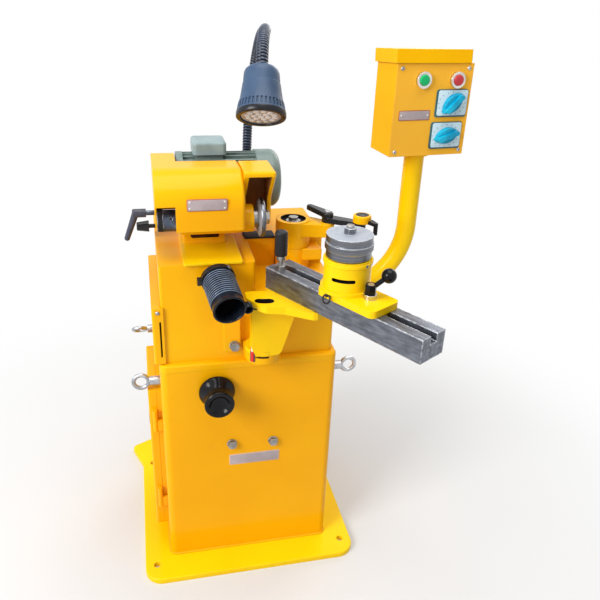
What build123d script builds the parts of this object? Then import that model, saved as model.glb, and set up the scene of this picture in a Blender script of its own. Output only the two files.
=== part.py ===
import os
from math import cos, radians, sin

from build123d import *

os.makedirs("parts", exist_ok=True)

# Saw blade sharpening machine, in millimetres: X to the right, Y to the back, Z up from the floor

# Fits
run = 0.05
gap = 0.3
press = 0.02

# Base plate
base_thick = 12
base_half_width = 224
base_front = -206
base_corner = 36
ear_half_width = 252
ear_start = 165
ear_end = 240
base_rear = 265
base_rear_half = 202
ear_corner = 16
floor_span_x = 400
floor_span_y = 330
floor_hole_r = 7

# Cabinet
cabinet_width = 340
cabinet_depth = 310
cabinet_mid_y = 12
door_rise = 58
door_height = 343
door_headroom = 56
cabinet_height = door_rise + door_height + door_headroom
cabinet_corner = 14
sheet = 4
left = -cabinet_width / 2
right = cabinet_width / 2
front = cabinet_mid_y - cabinet_depth / 2
rear = cabinet_mid_y + cabinet_depth / 2
deck_z = base_thick + cabinet_height

# Cabinet door, its hinges and its latch
door_width = 178
door_thick = 16.5
door_sheet = 3
door_front = front + 35.5
door_low = base_thick + door_rise
rim_depth = 8
rim_width = 14
hinge_heights = (80, 275)
knuckle_r = 5
knuckle_length = 24
hinge_pin_r = 2.5
latch_shaft_r = 5
latch_inset = 28
latch_head_r = 14
latch_proud = 3
latch_slot = (20, 3, 1.6)
latch_cam = (12, 24, 3)

# Feed knob on the cabinet front
knob_x = -66
knob_drop = 45
knob_r = 34.5
knob_waist_r = 22
knob_face_r = 28
knob_length = 53
feed_shaft_r = 8
feed_boss_r = 14
feed_boss_length = 24

# Hexagon bolts
bolt_r = 5
bolt_flats = 16
bolt_head = 7
washer_r = 10
washer_thick = 1.6
cabinet_bolts = ((-37.5, 281), (46, 278))

# Eye bolts
eye_ring_r = 14
eye_wire_r = 4
eye_collar_r = 9
eye_collar = 19.5
eye_shank_r = 4
eye_drop = 36
eye_span = 210
eye_nut = (13, 6.5)

# Upper body
skirt_height = 15
body_inset = 8
body_inset_front = 12
body_corner = 10
body_wall = 8
body_height = 211
step_x = 9
step_y = -15
ledge_drop = 58
body_left = left + body_inset
body_right = right - body_inset
body_front = front + body_inset_front
body_rear = rear - body_inset
body_top = deck_z + body_height
ledge_z = body_top - ledge_drop

# Front pad with its bolt
pad_x = (-50, -20)
pad_z = (deck_z + 36, deck_z + 111)
pad_proud = 10
pad_bolt = (-31, deck_z + 49)

# Bracket lugs and the swivel pin
pivot_x = 18
pivot_y = body_front - 34
lug_r = 33
lug_thick = 18
lug_z = deck_z + 36
top_lug_r = 16
top_lug_thick = 20
hub_height = 66.4
swivel_pin_r = 8
swivel_cap = 5

# Dust hose
hose_start = Vector(-61, body_front - 10, body_top - 20)
hose_reach = Vector(11, -88, -23)
hose_r = 29
hose_valley_r = 27
hose_bore_r = 24.5
rib_count = 12
rib_pitch = 5.2
cuff_length = 14
cuff_bore_r = 16
mouth_length = 16
branch_r = 9
branch_bore_r = 6.5
clamp_width = 9
clamp_thick = 1.6

# Side cover
cover_proud = 16
cover_lap = 5
cover_front = 4
cover_z = (deck_z + 17, deck_z + 131)
cover_length = 255
cover_sheet = 3
cover_slot = (3, 74)

# Head slide
slide_x = -66
tongue_top = 44
tongue_low = 60
tongue_depth = 19.7
tongue_y = (-90, 60)
way_front = -100
slide_sheet = 4
slide_width = 104
slide_y = (body_front - 5, 60)

# Pedestal and tilt
ped_width = 76
ped_y = (-34, 36)
ped_height = 24
tilt_y = -4
tilt_rise = 51
tilt_pin_r = 8
tilt_stud_r = 4.5
tilt_stud_end = -180
tilt_lug_width = 39
tilt_lug_r = 14
lock_y = 22
lock_rise = 16
lock_shaft_r = 4
lock_r = (8, 11)
lock_x = (-195, -172)
slide_top = body_top + slide_sheet
tilt_z = slide_top + tilt_rise

# Spindle and its housing
spindle_y = -88
spindle_rise = 13
spindle_r = 10
housing_r = 26
housing_x = (-118, -14)
nose_r = 25
nose_end = 9
bearing_r = 21
bearing_width = 12
cheek_r = 16
cheek_width = 16
platform_thick = 6
platform_drop = 7
platform_x = (-108, 60)
platform_y = (5, 130)
spindle_z = tilt_z + spindle_rise

# Head cover
hood_x = (-161, -8)
hood_front = spindle_y - 37
hood_drop = 10
hood_height = 97
hood_brow_r = 60
hood_rear = -22
hood_sheet = 3
hood_end_round = 6
belt_side = -119
notch_x = -127
notch_height = 45
belt_floor = -32
hood_low = spindle_z - hood_drop
hood_top = hood_low + hood_height

# Grinding wheel and its guard
wheel_r = 35
wheel_x = (18, 30)
wheel_bore_r = 8
wheel_flange_r = 17
guard_x = (hood_x[1], 48)
guard_wall = 8.5
guard_roof = 9.5
guard_y = (-108, -26)
guard_throat_y = -64
guard_low = spindle_z - 20
guard_throat_z = spindle_z + 27
guard_top = spindle_z + 88
guard_round = 5

# Motor
motor_y = 35
motor_rise = 37
motor_r = 56
motor_fin_r = 52
motor_core_r = 45
motor_x = (-116, 32)
motor_bell_end = 78
fin_count = 28
fin_thick = 2.6
motor_shaft_r = 7
motor_foot = (100, 56)
motor_z = spindle_z + motor_rise
platform_top = tilt_z - platform_drop
terminal_x = (-86, -24)
terminal_y = (5, 66)
terminal_height = 24

# Belt drive
belt_x = (-156, -149)
spindle_groove_r = 15
motor_groove_r = 20
pulley_lip = 5
belt_thick = 4
drum_r = 19
drum_end = -126
set_screw_r = 2.5

# Lamp
lamp_x = 30
lamp_y = 115
lamp_post_r = 14
lamp_post_height = 84
lamp_foot_r = 20
neck_r = 9.5
neck_seat = 12
neck_route = ((0, 0, 90), (18, -18, 233), (10, -145, 261))
neck_fall = 55
neck_radii = (500, 75, 420, 60)
neck_tip = (-26.4, -313, 209.3)
shade_up = (0.09, 0.5, 0.861)
shade_height = 78
shade_seat = 10
shade_profile = ((37, 0), (37, 8), (34, 20), (31.5, 27), (28, 50), (27, 56), (26, 68), (19, 75), (12, 78))
shade_sheet = 2
shade_cavity = 60
lens_r = 31
lens_seat = 8
lens_thick = 3

# Rail
rail_start = (46.6, -140.8)
rail_dir = (0.515, -0.857)
rail_length = 340
rail_width = 55
rail_height = 40
throat = 16
throat_depth = 14
tee_width = 26
tee_height = 11
keyway = (12, 5)
rail_travel = 20
tee_stop = 12

# Rail bracket
flange_thick = 13
web_back = 19
web_thick = 13
web_left = -26
web_right = (27, 52)
foot_thick = 8
bracket_hub_r = 24
tongue_reach = 131
tongue_s = (-33, 27)
kidney_r = 44
kidney_width = 18
kidney_start = 251
kidney_span = 21
key_start = 8
key_length = 110

# Handle on the rail
handle_t = 26
handle_s = -16.6
handle_nut = (17, 10)
handle_post_r = 4
handle_collar_r = 8
handle_collar = 7
grip_r = 11
grip_length = 45

# Blade fixture on the rail
foot_t = (132, 252)
foot_s = (-36, 30)
foot_plate = 12
foot_corner = 10
fixture_t = 164
fixture_r = 38
fixture_height = 55
fixture_lip = 5
window = (38, 6, 18)
window_rise = 26
window_turn = 244
arbor_r = 14
arbor_stud_r = 6
disc_sizes = ((36, 13), (38.5, 12), (37, 12))
arbor_nut = (17, 10)
clamp_t = 215
clamp_stud_r = 6
clamp_boss_r = 11
clamp_boss = 8
lever_hub_flats = 16
lever_hub = 16
lever_arm_r = 4
lever_ball_r = 12
lever_reach = (28, 0, 20)

# Index column, arm, link and finger
column_x = body_right - 62
column_y = -20
column_r = 33.5
column_height = 46
column_recess = 1
stud_r = 12
ring_height = 51.7
ring_dish_r = 24.5
ring_dish = 6
boss_x = (column_x + 12, column_x + 50)
boss_y = (-58, -20)
boss_z = (25, 46)
arm_end = (column_x + 60, column_y - 30)
arm_boss_r = 14
arm_low = 25
arm_thick = 25
post_r = 6
link_end = (column_x + 116, column_y - 68)
link_thick = 10
link_width = 16
pad_end = (column_x + 37, column_y + 16)
pad_r = 7
pad_thick = 9
link_hub_r = 11
finger_knob_r = 17
finger_knob = 14
finger_tip = (column_x + 134, column_y - 96)
finger_drop = 16

# Control box on its pipe
box_corner = (282, -24)
box_low = body_top + 156
box_yaw = 7
box_size = (148, 82, 192)
box_sheet = 2.5
panel_size = (160, 170)
panel_thick = 2
lid_x = (-5, 151.5)
lid_y = (-4, 85)
lid_height = 24
lid_tilt = 4.5
pipe_r = 20
pipe_wall = 3
pipe_place = (354, 26)
pipe_bend = 146
pipe_run_z = deck_z + 66
pipe_flange_r = 34
pipe_flange = 8
button_places = ((54, 141), (126, 140.5))
bezel_r = 15
bezel_height = 7
barrel_r = 11
barrel_depth = 14
button_r = 9.7
button_proud = 3
button_length = 15
contact_size = (28, 26)
switch_places = ((120.5, 98), (116, 38))
switch_turns = (43, 18)
switch_plate = (68, 51, 3)
switch_body = (46, 48)
switch_shaft_r = 5
switch_shaft = 22
switch_leaf = (53, 30, 8)
switch_grip = (47, 11, 15)
screw_inset = (10, 9)
screw_r = 4
screw_shank_r = 2


def save(piece, name):
    piece.part.label = name
    export_step(piece.part, f"parts/{name}.step")


def across(y, z):
    return Plane(origin=(0, y, z), x_dir=(0, 1, 0), z_dir=(1, 0, 0))


def facing(x, z):
    return Plane(origin=(x, 0, z), x_dir=(1, 0, 0), z_dir=(0, -1, 0))


def outward(side, y, z):
    return Plane(origin=(side * right, y, z), x_dir=(0, 1, 0), z_dir=(side, 0, 0))


def upright(x, y):
    return Plane(origin=(x, y, 0))


def rod(axis, radius, start, end, mode=Mode.ADD):
    with Locations(axis.offset(start)):
        Cylinder(radius, end - start, align=(Align.CENTER, Align.CENTER, Align.MIN), mode=mode)


def block(x, y, z, mode=Mode.ADD, frame=Plane.XY):
    middle = Location((sum(x) / 2, sum(y) / 2, sum(z) / 2))
    with Locations(frame.location * middle):
        Box(x[1] - x[0], y[1] - y[0], z[1] - z[0], mode=mode)


def hexagon(axis, flats, start, end, mode=Mode.ADD):
    with BuildSketch(axis.offset(start)) as outline:
        RegularPolygon(flats / 2, 6, major_radius=False)
    extrude(outline.sketch, amount=end - start, mode=mode)


def turned(axis, profile, mode=Mode.ADD):
    side = Plane(origin=axis.origin, x_dir=axis.x_dir, z_dir=-axis.y_dir)
    with BuildSketch(side) as section:
        with BuildLine():
            Polyline(*profile, close=True)
        make_face()
    revolve(section.sketch, axis=Axis(axis.origin, axis.z_dir), mode=mode)


# Base plate with flared rear ears and four floor holes
with BuildPart() as base_plate:
    with BuildSketch() as outline:
        with BuildLine():
            FilletPolyline(
                (0, base_front),
                (base_half_width, base_front),
                (base_half_width, ear_start),
                (ear_half_width, ear_end),
                (base_rear_half, base_rear),
                (0, base_rear),
                radius=(base_corner, ear_corner, ear_corner, ear_corner),
            )
            Line((0, base_rear), (0, base_front))
        make_face()
        mirror(about=Plane.YZ)
    extrude(amount=base_thick)
    chamfer(base_plate.faces().sort_by(Axis.Z)[-1].outer_wire().edges(), 1.5)
    with GridLocations(floor_span_x, floor_span_y, 2, 2):
        Hole(floor_hole_r)
save(base_plate, "base_plate")

# Cabinet: folded sheet, open below, with a proud rim round its side door
door_plane = left - rim_depth
rim_y = (door_front, door_front + door_width)
rim_z = (door_low, door_low + door_height)
rim_mid = ((rim_y[0] + rim_y[1]) / 2, (rim_z[0] + rim_z[1]) / 2)
knob_z = deck_z - knob_drop
eye_z = deck_z - eye_drop
eye_places = [(side, row) for side in (-1, 1) for row in (-1, 1)]

with BuildPart() as cabinet:
    with BuildSketch(Plane.XY.offset(base_thick)):
        with Locations((0, cabinet_mid_y)):
            RectangleRounded(cabinet_width, cabinet_depth, cabinet_corner)
    extrude(amount=cabinet_height)
    with BuildSketch(Plane.XY.offset(base_thick)):
        with Locations((0, cabinet_mid_y)):
            RectangleRounded(cabinet_width - 2 * sheet, cabinet_depth - 2 * sheet, cabinet_corner - sheet)
    extrude(amount=cabinet_height - sheet, mode=Mode.SUBTRACT)
    with BuildSketch(Plane.YZ.offset(left + sheet)):
        with Locations(rim_mid):
            RectangleRounded(door_width, door_height, 8)
    extrude(amount=-rim_depth - sheet)
    with BuildSketch(Plane.YZ.offset(left + sheet)):
        with Locations(rim_mid):
            RectangleRounded(door_width - 2 * rim_width, door_height - 2 * rim_width, 6)
    extrude(amount=-rim_depth - sheet, mode=Mode.SUBTRACT)
    rod(facing(knob_x, knob_z), feed_boss_r, -front - sheet - feed_boss_length, -front - sheet)
    rod(facing(knob_x, knob_z), feed_shaft_r + run, -front - sheet - feed_boss_length, -front, Mode.SUBTRACT)
    for x, rise in cabinet_bolts:
        rod(facing(x, base_thick + rise), bolt_r + run, -front - sheet, -front, Mode.SUBTRACT)
    for side, row in eye_places:
        rod(outward(side, row * eye_span / 2, eye_z), eye_shank_r + run, -sheet, 0, Mode.SUBTRACT)
save(cabinet, "cabinet")

# Hinges: lower knuckle, pin and leaf stay on the cabinet
hinge_x = door_plane - knuckle_r - 1
hinge_y = door_front - knuckle_r - 0.5
hinge_zs = [door_low + rise for rise in hinge_heights]
with BuildPart() as door_hinges:
    for z in hinge_zs:
        rod(upright(hinge_x, hinge_y), knuckle_r, z - knuckle_length, z)
        rod(upright(hinge_x, hinge_y), hinge_pin_r, z - knuckle_length, z + knuckle_length)
        block((hinge_x, left), (hinge_y - 3, door_front - 0.8), (z - knuckle_length, z))
save(door_hinges, "door_hinges")

# Door: a shallow pan with the upper knuckles on its front edge
door_in = door_plane - gap
door_out = door_in - door_thick
latch_y = door_front + door_width - latch_inset
latch_z = door_low + door_height / 2
with BuildPart() as cabinet_door:
    with BuildSketch(Plane.YZ.offset(door_in)):
        with Locations(rim_mid):
            RectangleRounded(door_width, door_height, 8)
    extrude(amount=-door_thick)
    fillet(cabinet_door.faces().sort_by(Axis.X)[0].outer_wire().edges(), 4)
    with BuildSketch(Plane.YZ.offset(door_in)):
        with Locations(rim_mid):
            RectangleRounded(door_width - 2 * door_sheet, door_height - 2 * door_sheet, 5)
    extrude(amount=door_sheet - door_thick, mode=Mode.SUBTRACT)
    for z in hinge_zs:
        low = z + gap
        high = z + knuckle_length
        rod(upright(hinge_x, hinge_y), knuckle_r, low, high)
        block((hinge_x - knuckle_r, hinge_x), (hinge_y, door_front + door_sheet), (low, high))
        rod(upright(hinge_x, hinge_y), hinge_pin_r + run, low, high, Mode.SUBTRACT)
    rod(across(latch_y, latch_z), latch_shaft_r + run, door_out, door_in, Mode.SUBTRACT)
save(cabinet_door, "cabinet_door")

# Quarter-turn latch, its cam behind the cabinet wall
latch_axis = across(latch_y, latch_z)
cam_x = left + sheet + gap
with BuildPart() as door_latch:
    rod(latch_axis, latch_shaft_r, door_out - gap - 1, cam_x + latch_cam[2])
    rod(latch_axis, latch_head_r, door_out - gap - latch_proud, door_out - gap)
    fillet(door_latch.faces().sort_by(Axis.X)[0].edges(), 1)
    with BuildSketch(Plane.YZ.offset(door_out - gap - latch_proud)):
        with Locations((latch_y, latch_z)):
            SlotOverall(latch_slot[0], latch_slot[1], rotation=90)
    extrude(amount=latch_slot[2], mode=Mode.SUBTRACT)
    block(
        (cam_x, cam_x + latch_cam[2]),
        (latch_y - latch_cam[0] / 2, latch_y + latch_cam[0] / 2),
        (latch_z - latch_cam[1], latch_z + latch_cam[0] / 2),
    )
save(door_latch, "door_latch")

# Feed knob and its shaft through the cabinet front
feed_axis = facing(knob_x, knob_z)
knob_foot = -front + 1
shaft_tip = knob_foot + knob_length - 14
boss_inner = -front - sheet - feed_boss_length
with BuildPart() as feed_shaft:
    rod(feed_axis, feed_shaft_r, boss_inner - 14, shaft_tip)
    rod(feed_axis, feed_boss_r, boss_inner - gap - 10, boss_inner - gap)
save(feed_shaft, "feed_shaft")

with BuildPart() as feed_knob:
    with BuildSketch(Plane(origin=feed_axis.origin, x_dir=feed_axis.x_dir, z_dir=-feed_axis.y_dir)):
        with BuildLine():
            Polyline(
                (0, knob_foot + knob_length - 9),
                (0, shaft_tip),
                (feed_shaft_r + press, shaft_tip),
                (feed_shaft_r + press, knob_foot),
                (knob_r - 6, knob_foot),
            )
            Spline(
                (knob_r - 6, knob_foot),
                (knob_r, knob_foot + 7),
                (knob_r - 6, knob_foot + 17),
                (knob_waist_r, knob_foot + 30),
                (knob_waist_r + 2, knob_foot + knob_length - 11),
                (knob_face_r, knob_foot + knob_length - 4),
                (knob_face_r - 3, knob_foot + knob_length),
            )
            Line((knob_face_r - 3, knob_foot + knob_length), (knob_face_r - 8, knob_foot + knob_length - 1.5))
            Spline(
                (knob_face_r - 8, knob_foot + knob_length - 1.5),
                (knob_face_r / 2, knob_foot + knob_length - 7),
                (0, knob_foot + knob_length - 9),
                tangents=((-1, -1), (-1, 0)),
            )
        make_face()
    revolve(axis=Axis(feed_axis.origin, feed_axis.z_dir))
save(feed_knob, "feed_knob")

# Eye bolts at the four upper corners, the rear left one turned on its shank
with BuildPart() as eye_bolts:
    for side, row in eye_places:
        y = row * eye_span / 2
        shank = outward(side, y, eye_z)
        turn = 50 if (side, row) == (-1, 1) else 0
        rod(shank, eye_shank_r, -sheet - eye_nut[1] - 3, 2)
        rod(shank, eye_collar_r, 0, eye_collar)
        hexagon(shank, eye_nut[0], -sheet - eye_nut[1], -sheet)
        ring = eye_collar + eye_ring_r + eye_wire_r - 2
        with Locations(Location((side * (right + ring), y, eye_z), (90 + turn, 0, 0))):
            Torus(eye_ring_r, eye_wire_r)
save(eye_bolts, "eye_bolts")

# Upper body: a hollow casting with the slide way in its top and the lugs in front
pivot = upright(pivot_x, pivot_y)
top_lug_z = lug_z + lug_thick + hub_height + 2 * gap
hose_axis = Plane(origin=hose_start, x_dir=(1, 0, 0), z_dir=hose_reach)
column_axis = upright(column_x, column_y)
way_depth = tongue_depth + gap
way_low = tongue_low + (tongue_low - tongue_top) * gap / tongue_depth + 2 * run
way_top = tongue_top + 2 * run
with BuildPart() as upper_body:
    with BuildSketch(Plane.XY.offset(deck_z)):
        with Locations((0, cabinet_mid_y)):
            RectangleRounded(cabinet_width, cabinet_depth, cabinet_corner)
    extrude(amount=skirt_height)
    chamfer(upper_body.faces().sort_by(Axis.Z)[-1].outer_wire().edges(), 3)
    with BuildSketch(Plane.XY.offset(deck_z)) as footprint:
        with Locations(((body_left + body_right) / 2, (body_front + body_rear) / 2)):
            RectangleRounded(body_right - body_left, body_rear - body_front, body_corner)
    extrude(amount=ledge_z - deck_z)
    with BuildSketch(Plane.XY.offset(deck_z)):
        with BuildLine():
            FilletPolyline(
                (body_left, body_front),
                (step_x, body_front),
                (step_x, step_y),
                (body_right, step_y),
                (body_right, body_rear),
                (body_left, body_rear),
                radius=body_corner / 2,
                close=True,
            )
        make_face()
    extrude(amount=body_height)
    block(
        (body_left + body_wall, body_right - body_wall),
        (body_front + body_wall, body_rear - body_wall),
        (deck_z, ledge_z - body_wall),
        Mode.SUBTRACT,
    )
    block(
        (body_left + body_wall, step_x - body_wall),
        (body_front + body_wall, body_rear - body_wall),
        (deck_z, body_top - way_depth - 12),
        Mode.SUBTRACT,
    )
    block(
        (step_x - body_wall, body_right - body_wall),
        (column_y + column_r + column_recess + body_wall, body_rear - body_wall),
        (deck_z, body_top - body_wall),
        Mode.SUBTRACT,
    )
    with BuildSketch(Plane.XZ.offset(-body_rear)):
        with BuildLine():
            Polyline(
                (slide_x - way_low / 2, body_top - way_depth),
                (slide_x + way_low / 2, body_top - way_depth),
                (slide_x + way_top / 2, body_top),
                (slide_x - way_top / 2, body_top),
                close=True,
            )
        make_face()
    extrude(amount=body_rear - way_front, mode=Mode.SUBTRACT)
    rod(column_axis, column_r + column_recess, ledge_z, body_top, Mode.SUBTRACT)
    block(pad_x, (body_front - pad_proud, body_front), pad_z)
    for radius, low, thick in ((lug_r, lug_z, lug_thick), (top_lug_r, top_lug_z, top_lug_thick)):
        rod(pivot, radius, low, low + thick)
        block((pivot_x - radius, pivot_x + radius), (pivot_y, body_front + 1), (low, low + thick))
        rod(pivot, swivel_pin_r + press, low, low + thick, Mode.SUBTRACT)
    rod(facing(*pad_bolt), bolt_r + run, -body_front - body_wall, -body_front + pad_proud, Mode.SUBTRACT)
    rod(hose_axis, cuff_bore_r - run, -10, cuff_length + 6)
    rod(hose_axis, cuff_bore_r - 4, -10, cuff_length + 6, Mode.SUBTRACT)
    pipe_entry = across(pipe_place[1], pipe_run_z)
    rod(pipe_entry, pipe_r - pipe_wall, body_right - body_wall, body_right, Mode.SUBTRACT)
save(upper_body, "upper_body")

# Sheet cover on the left of the body, lapping round its front corner
cover_y = (body_front - cover_front, body_front - cover_front + cover_length)
with BuildPart() as side_cover:
    block((body_left - cover_proud, body_left), cover_y, cover_z)
    fillet(side_cover.edges().filter_by(Axis.Z).sort_by(Axis.X)[:2], 5)
    block(
        (body_left - cover_proud + cover_sheet, body_left),
        (body_front, cover_y[1] - cover_sheet),
        (cover_z[0] + cover_sheet, cover_z[1] - cover_sheet),
        Mode.SUBTRACT,
    )
    block((body_left - 1, body_left + cover_lap), (cover_y[0], body_front), cover_z)
    with BuildSketch(Plane.XZ.offset(-cover_y[0])):
        with Locations((body_left - 1.5, sum(cover_z) / 2 - 6)):
            SlotOverall(cover_slot[1], cover_slot[0], rotation=90)
    extrude(amount=-cover_front, mode=Mode.SUBTRACT)
save(side_cover, "side_cover")

# Hexagon bolts of the cabinet front, the pad and the column
ring_top = ledge_z + column_height + gap + ring_height
dish_z = ring_top - ring_dish
with BuildPart() as m10_bolts:
    for x, rise in cabinet_bolts:
        axis = facing(x, base_thick + rise)
        rod(axis, bolt_r, -front - 14, -front)
        rod(axis, washer_r, -front, -front + washer_thick)
        hexagon(axis, bolt_flats, -front + washer_thick, -front + washer_thick + bolt_head)
    pad_face = -body_front + pad_proud
    rod(facing(*pad_bolt), bolt_r, pad_face - 22, pad_face)
    rod(facing(*pad_bolt), washer_r, pad_face, pad_face + washer_thick)
    hexagon(facing(*pad_bolt), bolt_flats, pad_face + washer_thick, pad_face + washer_thick + bolt_head)
    rod(column_axis, bolt_r, dish_z - 20, dish_z + gap)
    rod(column_axis, washer_r + 4, dish_z + gap, dish_z + gap + 2)
    hexagon(column_axis, bolt_flats, dish_z + gap + 2, dish_z + gap + 2 + bolt_head)
save(m10_bolts, "m10_bolts")

# Swivel pin with its cap
with BuildPart() as swivel_pin:
    rod(pivot, swivel_pin_r, lug_z, top_lug_z + top_lug_thick)
    rod(pivot, swivel_pin_r + 3, top_lug_z + top_lug_thick, top_lug_z + top_lug_thick + swivel_cap)
save(swivel_pin, "swivel_pin")

# Ribbed dust hose with a cuff, an open mouth and a small branch beside it
ribs_end = cuff_length + rib_count * rib_pitch
hose_end = ribs_end + mouth_length
with BuildPart() as dust_hose:
    for rib in range(rib_count):
        for share, radius in ((0, hose_valley_r), (0.2, hose_r), (0.65, hose_r), (0.85, hose_valley_r)):
            with BuildSketch(hose_axis.offset(cuff_length + (rib + share) * rib_pitch)):
                Circle(radius)
    with BuildSketch(hose_axis.offset(ribs_end)):
        Circle(hose_valley_r)
    loft(ruled=True)
    rod(hose_axis, hose_r, 0, cuff_length)
    rod(hose_axis, hose_r, ribs_end, hose_end)
    branch = Plane(origin=hose_axis.from_local_coords((hose_r + branch_r - 6, -4, 0)), z_dir=hose_reach)
    rod(branch, branch_r, ribs_end + 1, hose_end + 1)
    rod(hose_axis, hose_bore_r, cuff_length + 6, hose_end + 2, Mode.SUBTRACT)
    rod(hose_axis, cuff_bore_r, 0, cuff_length + 6, Mode.SUBTRACT)
    rod(branch, branch_bore_r, ribs_end + 4, hose_end + 2, Mode.SUBTRACT)
save(dust_hose, "dust_hose")

# Band clamp on the hose cuff with its screw housing
with BuildPart() as hose_clamp:
    band = (2.5, 2.5 + clamp_width)
    rod(hose_axis, hose_r + press + clamp_thick, *band)
    block((-hose_r - 8, -hose_r + 2), (-7, 7), (band[0] + 1, band[1] - 1), frame=hose_axis)
    rod(hose_axis, hose_r + press, *band, Mode.SUBTRACT)
save(hose_clamp, "hose_clamp")

# Slide plate with its dovetail tongue
with BuildPart() as slide_plate:
    with BuildSketch(Plane.XY.offset(body_top)):
        with Locations((slide_x, sum(slide_y) / 2)):
            RectangleRounded(slide_width, slide_y[1] - slide_y[0], 4)
    extrude(amount=slide_sheet)
    with BuildSketch(Plane.XZ.offset(-tongue_y[1])):
        with BuildLine():
            Polyline(
                (slide_x - tongue_low / 2, body_top - tongue_depth),
                (slide_x + tongue_low / 2, body_top - tongue_depth),
                (slide_x + tongue_top / 2, body_top),
                (slide_x - tongue_top / 2, body_top),
                close=True,
            )
        make_face()
    extrude(amount=tongue_y[1] - tongue_y[0])
save(slide_plate, "slide_plate")

# Pedestal casting with the tilt lug
tilt_axis = across(tilt_y, tilt_z)
lock_axis = across(lock_y, slide_top + lock_rise)
ped_x = (slide_x - ped_width / 2 - 6, slide_x + ped_width / 2 - 6)
lug_x = (slide_x - tilt_lug_width / 2 - 6, slide_x + tilt_lug_width / 2 - 6)
ped_top = slide_top + ped_height
with BuildPart() as pedestal:
    with BuildSketch(Plane.YZ.offset(ped_x[0])):
        with BuildLine():
            FilletPolyline(
                (ped_y[0] - 6, slide_top),
                (ped_y[1] + 4, slide_top),
                (ped_y[1], ped_top),
                (ped_y[0] + 6, ped_top),
                radius=(0, 0, 5, 8),
                close=True,
            )
        make_face()
    extrude(amount=ped_width)
    with BuildSketch(Plane.YZ.offset(lug_x[0])):
        with Locations((tilt_y, tilt_z)):
            Circle(tilt_lug_r)
        with BuildLine():
            Polyline(
                (tilt_y - tilt_lug_r, tilt_z),
                (tilt_y + tilt_lug_r, tilt_z),
                (tilt_y + tilt_lug_r + 4, slide_top + 2),
                (tilt_y - tilt_lug_r - 4, slide_top + 2),
                close=True,
            )
        make_face()
    extrude(amount=tilt_lug_width)
    rod(tilt_axis, tilt_pin_r + press, *lug_x, Mode.SUBTRACT)
    rod(lock_axis, lock_shaft_r + run, ped_x[0], ped_x[0] + 22, Mode.SUBTRACT)
save(pedestal, "pedestal")

# Tilt pin with the long stud of the clamping lever
cheek_gap = 0.5
cheek_x = (lug_x[0] - cheek_gap - cheek_width, lug_x[1] + cheek_gap + cheek_width)
with BuildPart() as tilt_pin:
    rod(tilt_axis, tilt_pin_r, cheek_x[0] - 4, cheek_x[1] + 4)
    rod(tilt_axis, tilt_stud_r, tilt_stud_end, cheek_x[0] - 4)
save(tilt_pin, "tilt_pin")

# Slide lock: tapered knob on a plain shaft
with BuildPart() as lock_knob:
    with Locations(lock_axis.offset(lock_x[0])):
        Cone(lock_r[0], lock_r[1], lock_x[1] - lock_x[0], align=(Align.CENTER, Align.CENTER, Align.MIN))
    fillet(lock_knob.faces().sort_by(Axis.X)[0].edges(), 2)
    rod(lock_axis, lock_shaft_r, lock_x[1], ped_x[0] + 20)
save(lock_knob, "lock_knob")

# Clamping lever: hub on the stud and an arm swung down and out
with BuildPart() as tilt_lever:
    rod(tilt_axis, tilt_stud_r + 3.5, tilt_stud_end - 21, tilt_stud_end + 4)
    fillet(tilt_lever.faces().sort_by(Axis.X)[0].edges(), 3)
    with BuildSketch(Plane(origin=(tilt_stud_end - 15, tilt_y, tilt_z), z_dir=(-18, 0, -48))):
        Circle(6.5)
    with BuildSketch(Plane(origin=(tilt_stud_end - 33, tilt_y, tilt_z - 48), z_dir=(-18, 0, -48))):
        Circle(5.2)
    loft()
    with Locations((tilt_stud_end - 33, tilt_y, tilt_z - 48)):
        Sphere(5.2)
    rod(tilt_axis, tilt_stud_r + run, tilt_stud_end, tilt_stud_end + 4, Mode.SUBTRACT)
save(tilt_lever, "tilt_lever")

# Spindle housing casting: quill, tilt cheeks and the motor platform behind
spindle_axis = across(spindle_y, spindle_z)
motor_axis = across(motor_y, motor_z)
lamp_axis = upright(lamp_x, lamp_y)
with BuildPart() as spindle_housing:
    rod(spindle_axis, housing_r, *housing_x)
    rod(spindle_axis, nose_r, housing_x[1], nose_end)
    for x0, x1 in ((cheek_x[0], cheek_x[0] + cheek_width), (cheek_x[1] - cheek_width, cheek_x[1])):
        with BuildSketch(Plane.YZ.offset(x0)):
            with Locations((spindle_y, spindle_z)):
                Circle(housing_r - 4)
            with Locations((tilt_y, tilt_z)):
                Circle(cheek_r)
            make_hull()
        extrude(amount=x1 - x0)
    with BuildSketch(Plane.XY.offset(platform_top - platform_thick)):
        with BuildLine():
            FilletPolyline(
                (platform_x[0], platform_y[0] - 24),
                (cheek_x[1], platform_y[0] - 24),
                (cheek_x[1] + 6, platform_y[0]),
                (platform_x[1], platform_y[0]),
                (platform_x[1], platform_y[1]),
                (platform_x[0], platform_y[1]),
                radius=6,
                close=True,
            )
        make_face()
    extrude(amount=platform_thick)
    block(
        (lug_x[0] - cheek_gap, lug_x[1] + cheek_gap),
        (platform_y[0] - 30, tilt_y + tilt_lug_r + 12),
        (platform_top - 40, platform_top + 30),
        Mode.SUBTRACT,
    )
    rod(tilt_axis, tilt_pin_r + run, cheek_x[0] - 6, cheek_x[1] + 6, Mode.SUBTRACT)
    rod(spindle_axis, bearing_r + press, housing_x[0], housing_x[0] + bearing_width + 2, Mode.SUBTRACT)
    rod(spindle_axis, bearing_r + press, housing_x[1] - bearing_width - 2, housing_x[1], Mode.SUBTRACT)
    rod(spindle_axis, spindle_r + 2, housing_x[0], nose_end, Mode.SUBTRACT)
save(spindle_housing, "spindle_housing")

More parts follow.
